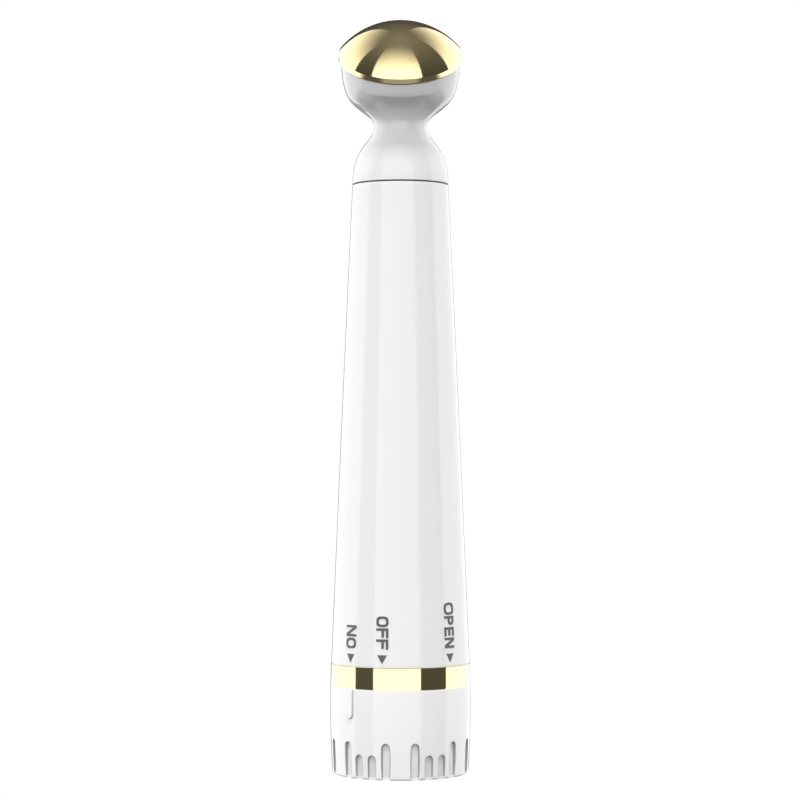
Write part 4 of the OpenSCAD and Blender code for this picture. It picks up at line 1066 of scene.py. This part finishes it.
# %% Geometry tree that winds the spring
def spring_tree(material):
    graph, given, exit_node = geometry_tree("Wind the spring", {
        "Turns": "Float", "Foot radius": "Float", "Head radius": "Float",
        "Height": "Float", "Wire": "Float", "Base": "Float"})
    count = 300  # points along the wire
    line = graph.node("GeometryNodeMeshLine", inputs={"Count": count})
    t = graph.node("GeometryNodeInputIndex") / float(count - 1)
    angle = given["Turns"] * t * (2 * pi)
    radius = given["Foot radius"] + (given["Head radius"] - given["Foot radius"]) * t
    climb = t.rise(0.06, 0.94) * 0.55 + t * 0.45
    z = given["Base"] + given["Wire"] / 2.0 + (given["Height"] - given["Wire"]) * climb
    there = graph.node("ShaderNodeCombineXYZ", inputs={
        "X": radius * graph.math("COSINE", angle), "Y": radius * graph.math("SINE", angle), "Z": z})
    wound = graph.node("GeometryNodeSetPosition", inputs={"Geometry": line, "Position": there})
    path = graph.node("GeometryNodeMeshToCurve", inputs={"Mesh": wound})
    round_wire = graph.node("GeometryNodeCurvePrimitiveCircle", inputs={
        "Resolution": 16, "Radius": given["Wire"] / 2.0})
    swept = graph.node("GeometryNodeCurveToMesh", inputs={
        "Curve": path, "Profile Curve": round_wire, "Fill Caps": True})
    end_tree(graph, exit_node, swept, material)
    return graph.tree


def steel_look(graph, place):
    streak = noise(graph, place, 0.3 * MM, 3.0)
    return {"Base Color": blend_colour(graph, streak, (0.60, 0.60, 0.61), (0.74, 0.74, 0.75)),
            "Roughness": 0.16 + 0.16 * streak}


def steel_bump(graph, place):
    return noise(graph, place, 0.12 * MM, 2.0), 0.004 * MM, 0.4


spring_steel = finish("spring_steel", steel_look, steel_bump, Metallic=1.0)
spring_low, spring_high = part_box("battery_spring")
spring = bpy.data.objects.new("coil_spring", bpy.data.meshes.new("coil_spring"))
bpy.context.scene.collection.objects.link(spring)
run_tree(spring, spring_tree(spring_steel), spring_steel, Turns=3.5, Foot_radius=5.6 * MM,
         Head_radius=2.8 * MM, Height=spring_high.z - spring_low.z, Wire=0.7 * MM, Base=spring_low.z)
dress(spring, "battery_cap", "spring_steel", "battery_spring")

# %% [markdown]
# ## Finishes of the works inside
#
# The frame's own solids have the right shape for the parts inside, so they only need
# finishes. Most are the same idea with other numbers: two close tones clouded by noise, a
# roughness that follows it, and a grain in the surface. One function turns those numbers
# into a finish. Four surfaces have a pattern of their own and get their own functions.

# %% Plain inner finishes
def grained(name, dark, light, grain, shine, depth, drawn=1, metal=0.0):
    """Two tones clouded by a grain, drawn out along Z; a roughness range; a bump. Sizes in mm."""
    size, stretch = grain * MM, (1, 1, drawn)

    def look(graph, place):
        cloud = noise(graph, place, size * 6, 3.0, stretch)
        fleck = noise(graph, place, size, 2.0, stretch)
        return {"Base Color": blend_colour(graph, cloud * 0.6 + fleck * 0.4, dark, light),
                "Roughness": shine[0] + (shine[1] - shine[0]) * fleck}

    def bump(graph, place):
        return noise(graph, place, size, 2.0, stretch), depth * MM, 0.5

    return finish(name, look, bump, Metallic=metal)


PLAIN = {
    # slot: finish, dark tone, light tone, grain in mm, roughness from and to, bump in mm
    "frame_plastic": ("tray_plastic", (0.74, 0.75, 0.76), (0.84, 0.85, 0.85), 0.12, (0.42, 0.6), 0.02),
    "collar_plastic": ("collar_plastic", (0.55, 0.56, 0.58), (0.66, 0.67, 0.69), 0.15, (0.3, 0.45), 0.01),
    "motor_plastic": ("motor_end_plastic", (0.80, 0.80, 0.77), (0.90, 0.90, 0.87), 0.1, (0.3, 0.5), 0.01),
    "chip_black": ("chip_package", (0.03, 0.03, 0.032), (0.06, 0.06, 0.062), 0.05, (0.45, 0.7), 0.01),
    "ferrite": ("ground_ferrite", (0.09, 0.09, 0.095), (0.19, 0.19, 0.20), 0.06, (0.4, 0.65), 0.015),
    "capacitor_tan": ("fired_ceramic", (0.52, 0.38, 0.22), (0.68, 0.52, 0.34), 0.07, (0.3, 0.5), 0.008),
    "dark_seal": ("seal_rubber", (0.045, 0.045, 0.047), (0.085, 0.085, 0.088), 0.1, (0.45, 0.65), 0.01),
    "motor_rubber": ("sleeve_rubber", (0.07, 0.07, 0.075), (0.13, 0.13, 0.14), 0.12, (0.5, 0.75), 0.015),
    "lead_red": ("red_insulation", (0.50, 0.035, 0.03), (0.68, 0.07, 0.06), 0.12, (0.3, 0.5), 0.008),
    "lead_black": ("black_insulation", (0.05, 0.05, 0.05), (0.10, 0.10, 0.10), 0.12, (0.3, 0.5), 0.008),
    "sensor_brown": ("epoxy_bead", (0.16, 0.07, 0.03), (0.27, 0.13, 0.07), 0.1, (0.1, 0.25), 0.01),
}
METALS = {
    # the same, then how far the grain is drawn out
    "contact_metal": ("nickel_strip", (0.66, 0.64, 0.58), (0.80, 0.78, 0.72), 0.08, (0.16, 0.34), 0.003, 12),
    "wiper_metal": ("bronze_strip", (0.66, 0.47, 0.24), (0.80, 0.61, 0.35), 0.08, (0.18, 0.36), 0.003, 12),
    "motor_can": ("drawn_can", (0.62, 0.62, 0.63), (0.76, 0.76, 0.77), 0.08, (0.18, 0.34), 0.003, 12),
    "screw_steel": ("zinc_plate", (0.64, 0.65, 0.68), (0.78, 0.78, 0.79), 0.05, (0.12, 0.3), 0.003),
    "weight_metal": ("sintered_weight", (0.33, 0.33, 0.35), (0.50, 0.50, 0.52), 0.05, (0.35, 0.6), 0.008),
}
inner_finishes = {slot: grained(*numbers) for slot, numbers in PLAIN.items()}
for slot, numbers in METALS.items():
    inner_finishes[slot] = grained(*numbers, metal=1.0)
inner_finishes.update(white_shell=white_plastic, gold_plate=gold_plate, spring_steel=spring_steel)
print("plain finishes:", len(inner_finishes))

# %% [markdown]
# ## The seal in the upper seam
#
# A dark rubber ring fills the seam between the handle and the shoulder. The frame's own
# ring is set back under the handle's surface, so its ends would fade at the outline. The
# photograph shows an even line, dark up to the outline, so the ring is turned once more,
# almost flush with the handle.

# %% Seam seal
SEAL_SETBACK = 0.03 * MM
SEAL_FIT = 0.02 * MM  # between the seal and the neck's plug


def seal_outline():
    outer = handle_radius(body_top) - SEAL_SETBACK
    top = neck_low - SEAM_LAP
    return rounded([(PLUG_R + SEAL_FIT, body_top, 0), (outer, body_top, 0.03 * MM),
                    (outer, top, 0.03 * MM), (PLUG_R + SEAL_FIT, top, 0)])


seam_seal = turned("seam_seal", seal_outline(), inner_finishes["dark_seal"])
dress(seam_seal, "handle", "dark_seal", "seam_gasket")

# %% [markdown]
# ## Four finishes with a pattern
#
# The cell has a shrink sleeve with plain bands and bare metal ends. The board has tracks under its green
# mask, the heater a foil track inside amber film, and the foam open cells, whose hollows are painted darker
# as painted shade. Each pattern is worked out from the place on the object, so no picture is used.

# %% Cell, board, heater and foam
cell_low, cell_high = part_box("battery_cell")
TRACK = 0.5 * MM  # half the pitch of the board's tracks
FOIL_PITCH = 1.4 * MM
FOAM_CELL = 0.35 * MM


def cell_look(graph, place):
    z = axes(graph, place)[2]
    bare = z.between(cell_low.z + 1.0 * MM, cell_high.z - 2.0 * MM, 0.1 * MM)
    band = z.between(cell_high.z - 14 * MM, cell_high.z - 3.2 * MM, 0.1 * MM)
    cloud = noise(graph, place, 2 * MM, 3.0)
    sleeve = blend_colour(graph, band, (0.055, 0.12, 0.19), (0.62, 0.42, 0.16))
    worn = blend_colour(graph, cloud * 0.18, sleeve, (0.4, 0.42, 0.44))
    return {"Base Color": blend_colour(graph, bare, (0.72, 0.72, 0.73), worn),
            "Metallic": 1 - bare * 0.55, "Roughness": 0.2 + 0.12 * cloud}


def board_look(graph, place):
    x = axes(graph, place)[0]
    wander = noise(graph, place, 3 * MM, 0.0) * 5.0
    track = graph.math("SINE", x * (pi / TRACK) + wander)
    copper = track.rise(0.55, 0.7)
    cloud = noise(graph, place, 0.5 * MM, 2.0)
    mask = blend_colour(graph, cloud, (0.018, 0.14, 0.06), (0.03, 0.19, 0.08))
    return {"Base Color": blend_colour(graph, copper, mask, (0.08, 0.33, 0.15)),
            "Roughness": 0.25 + 0.15 * cloud}


def heater_look(graph, place):
    x, y = axes(graph, place)[:2]
    turn = graph.math("SQRT", x * x + y * y) * (2 * pi / FOIL_PITCH)
    foil = graph.math("SINE", turn).rise(0.0, 0.25)
    cloud = noise(graph, place, 0.6 * MM, 2.0)
    film = blend_colour(graph, cloud, (0.60, 0.28, 0.045), (0.72, 0.37, 0.08))
    return {"Base Color": blend_colour(graph, foil, film, (0.38, 0.20, 0.07)),
            "Roughness": 0.22 + 0.14 * cloud}


def foam_cells(graph, place):
    return graph.node("ShaderNodeTexVoronoi", inputs={
        "Vector": place, "Scale": 1 / FOAM_CELL}, output="Distance")


def foam_look(graph, place):
    cells = foam_cells(graph, place)
    # The colour is darker in each cell's hollow, where the bump sinks: painted shade in the pores.
    return {"Base Color": blend_colour(graph, cells, (0.52, 0.48, 0.36), (0.88, 0.84, 0.70)),
            "Roughness": 0.85 + 0.1 * noise(graph, place, 0.4 * MM)}


def foam_bump(graph, place):
    return foam_cells(graph, place), 0.1 * MM, 0.8


def fine_bump(graph, place):
    return noise(graph, place, 0.1 * MM, 2.0), 0.004 * MM, 0.4


inner_finishes["cell_sleeve"] = finish("cell_sleeve", cell_look, fine_bump)
inner_finishes["board_laminate"] = finish("board_mask", board_look, fine_bump)
inner_finishes["heater_amber"] = finish("heater_film", heater_look, fine_bump)
inner_finishes["foam_cream"] = finish("open_foam", foam_look, foam_bump)
for part in frame["record"]["subparts"]:
    solid = frame["nodes"][part["node"]]
    for holder in solid.material_slots:
        holder.material = inner_finishes[part["material_slot"]]

# %% [markdown]
# ## The camera
#
# The photograph was taken from the front, almost level, with a long lens from about half
# a metre. The camera looks up by less than a degree, and needs no shift.

# %% Camera
camera_data = bpy.data.cameras.new("camera")
camera_data.lens = 113.45
camera_data.sensor_width = 36
camera = bpy.data.objects.new("camera", camera_data)
camera.location = (-0.07 * MM, -453.2 * MM, 59.4 * MM)
camera.rotation_euler = (radians(90.924), 0, 0)
bpy.context.scene.collection.objects.link(camera)
bpy.context.scene.camera = camera
print(f"camera {-camera.location.y:.3f} m in front, lens {camera_data.lens} mm")

# %% [markdown]
# ## The studio that the wand reflects
#
# A glossy wand on white is drawn by what it reflects. The gold dome shows the studio of
# the photograph almost like a mirror ball: one soft box in front, a large panel on each
# side, dark gaps between them and a grey ceiling. Area lamps could stand for these, but a
# world that is worked out from the direction has no noise and no lamp edges in view.
#
# Each soft box is a flat upright panel that fades towards its top. Directions are
# measured as on a map: azimuth from the front towards +X, elevation from the level. The
# gap behind the wand draws its thin grey outline. A dim strip in that gap, just below the
# level, lights the outline of the ring and the cap, which the photograph has paler.

# %% Panels of the studio
PANELS = [
    # left and right azimuth, lean of the left edge
    (-45, 33.5, 0.0),
    (-160, -79.5, 0.0),
    (81.4, 165, 0.19),
]
# brightness
PANEL = 1.68
GAP = 0.063
CEILING = 0.2
GROUND = 0.1
GROUND_FRONT = 0.37
STRIP = 0.12  # a share of the way from the gap's brightness to the panel's
# elevation, in degrees
PANEL_FADE = (28, 77)
LEVEL_FADE = (-31, -20)
STRIP_BAND = (-6.3, -4.3, 0.8)  # from, to and softness
# azimuth, in degrees
STRIP_START = (155, 160)
FRONT_GROUND = (-50, 50, 20)  # from, to and softness
EDGE_SOFT = 0.01  # of a panel's upright edges, as a slope


def upright_panel(graph, way, left, right, lean):
    """1 on a flat panel from the left to the right azimuth; lean tilts its left edge inwards."""
    x, y, z = way
    facing, half = radians((left + right) / 2), tan(radians((right - left) / 2))
    along = x * sin(facing) - y * cos(facing)
    across = x * cos(facing) + y * sin(facing)
    ahead = graph.math("GREATER_THAN", along, 0.001)
    depth = graph.math("MAXIMUM", along, 0.001)
    rise = z / depth
    first_edge = (across / depth - rise * lean).rise(-half - EDGE_SOFT, -half + EDGE_SOFT)
    last_edge = 1 - (across / depth).rise(half - EDGE_SOFT, half + EDGE_SOFT)
    height = graph.math("ARCTANGENT", rise) * degrees(1)
    return ahead * first_edge * last_edge * (1 - height.rise(*PANEL_FADE))


def reflected_studio(graph, way, azimuth, elevation):
    """Brightness of what a glossy surface mirrors."""
    panels = sum(upright_panel(graph, way, *edges) for edges in PANELS)
    start = PANEL_FADE[0]
    above = graph.math("MAXIMUM", elevation - float(start), 0.0) / float(90 - start)
    dark = GAP + (CEILING - GAP) * above
    ground = GROUND + (GROUND_FRONT - GROUND) * azimuth.between(*FRONT_GROUND)
    behind = graph.math("ABSOLUTE", azimuth).rise(*STRIP_START)
    strip = behind * elevation.between(*STRIP_BAND) * STRIP
    walls = dark + (PANEL - dark) * graph.math("MAXIMUM", panels, strip)
    level = elevation.rise(*LEVEL_FADE)
    return walls * level + ground * (1 - level)


print("panels:", len(PANELS))

# %% [markdown]
# ## The lamps that light it
#
# What lights the white plastic is softer: a low ring of lamps all round, weaker in front,
# and an overhead ring, strongest in front. The overhead light is what shades the neck
# under the cup and leaves the underside grey. Each lamp is a patch of directions with a
# strength. The camera itself sees plain white, and glossy rays see the panels.

# %% World
LAMPS = [
    # azimuth from and to, elevation from and to (degrees), strength
    (-180, -45, -5, 15, 4.1),
    (33.5, 180, -5, 15, 3.1),
    (-45, 33.5, -5, 55, 1.1),
    (-45, 33.5, 55, 75, 8.9),
    (-180, -45, 55, 75, 2.1),
    (33.5, 180, 55, 75, 1.9),
    (-180, 180, 75, 91, 4.0),
    (-180, 180, -91, -50, 0.42),
]


def soft_lamps(azimuth, elevation):
    """Brightness of what lights the wand: the sum of the patches."""
    return sum(azimuth.between(left, right, 0.5) * elevation.between(low, high, 2) * strength
               for left, right, low, high, strength in LAMPS)


world = bpy.data.worlds.new("studio")
bpy.context.scene.world = world
world.use_nodes = True
world.node_tree.nodes.clear()
sky = Socket(world.node_tree)
way = axes(sky, sky.node("ShaderNodeTexCoord", output="Generated"))
azimuth = sky.math("ARCTAN2", way[0], -way[1]) * degrees(1)
elevation = sky.math("ARCSINE", way[2]) * degrees(1)
rays = sky.node("ShaderNodeLightPath").out.node
seen = Socket(sky.tree, rays.outputs["Is Camera Ray"])
mirrored = Socket(sky.tree, rays.outputs["Is Glossy Ray"])
studio = reflected_studio(sky, way, azimuth, elevation)
lit = soft_lamps(azimuth, elevation) * (1 - mirrored) + studio * mirrored
shine = sky.node("ShaderNodeBackground", inputs={
    "Color": (1, 1, 1, 1), "Strength": lit * (1 - seen) + seen})
sky.node("ShaderNodeOutputWorld", inputs={"Surface": shine})
print("world ready,", len(LAMPS), "lamps")

# %% [markdown]
# ## The floor
#
# The wand stands on a white floor that only the camera sees, so that nothing is mirrored
# from it. A little of its white is paint, which keeps a soft contact shadow. The rest is
# clear, so the white background shines through, and so does the cap when it is pulled off
# downwards. An opaque white floor would hide it.

# %% Floor
FLOOR_PAINT = 0.07
FLOOR_CLEAR = 0.93
FLOOR_HALF = 3.0  # metres
FLOOR_DROP = 0.02 * MM  # under the wand's foot


def floor_material():
    """A veil of white paint for the camera, and nothing for all other rays."""
    made = bpy.data.materials.new("white_floor")
    made.use_nodes = True
    made.node_tree.nodes.clear()
    graph = Socket(made.node_tree)
    camera_ray = graph.node("ShaderNodeLightPath", output="Is Camera Ray")
    paint = graph.node("ShaderNodeBsdfDiffuse", inputs={"Color": (*grey(FLOOR_PAINT, 0), 1)})
    through = graph.node("ShaderNodeBsdfTransparent", inputs={"Color": (*grey(FLOOR_CLEAR, 0), 1)})
    white = graph.node("ShaderNodeAddShader", inputs={0: paint, 1: through})
    clear = graph.node("ShaderNodeBsdfTransparent")
    surface = graph.node("ShaderNodeMixShader", inputs={0: camera_ray, 1: clear, 2: white})
    graph.node("ShaderNodeOutputMaterial", inputs={"Surface": surface})
    return made


floor_mesh = bpy.data.meshes.new("floor")
corners = [(x * FLOOR_HALF, y * FLOOR_HALF, 0) for x, y in ((-1, -1), (1, -1), (1, 1), (-1, 1))]
floor_mesh.from_pydata(corners, [], [(0, 1, 2, 3)])
floor_mesh.materials.append(floor_material())
floor = bpy.data.objects.new("floor", floor_mesh)
floor.location.z = -FLOOR_DROP
bpy.context.scene.collection.objects.link(floor)
bpy.context.scene.view_settings.view_transform = "Standard"
print("floor ready")
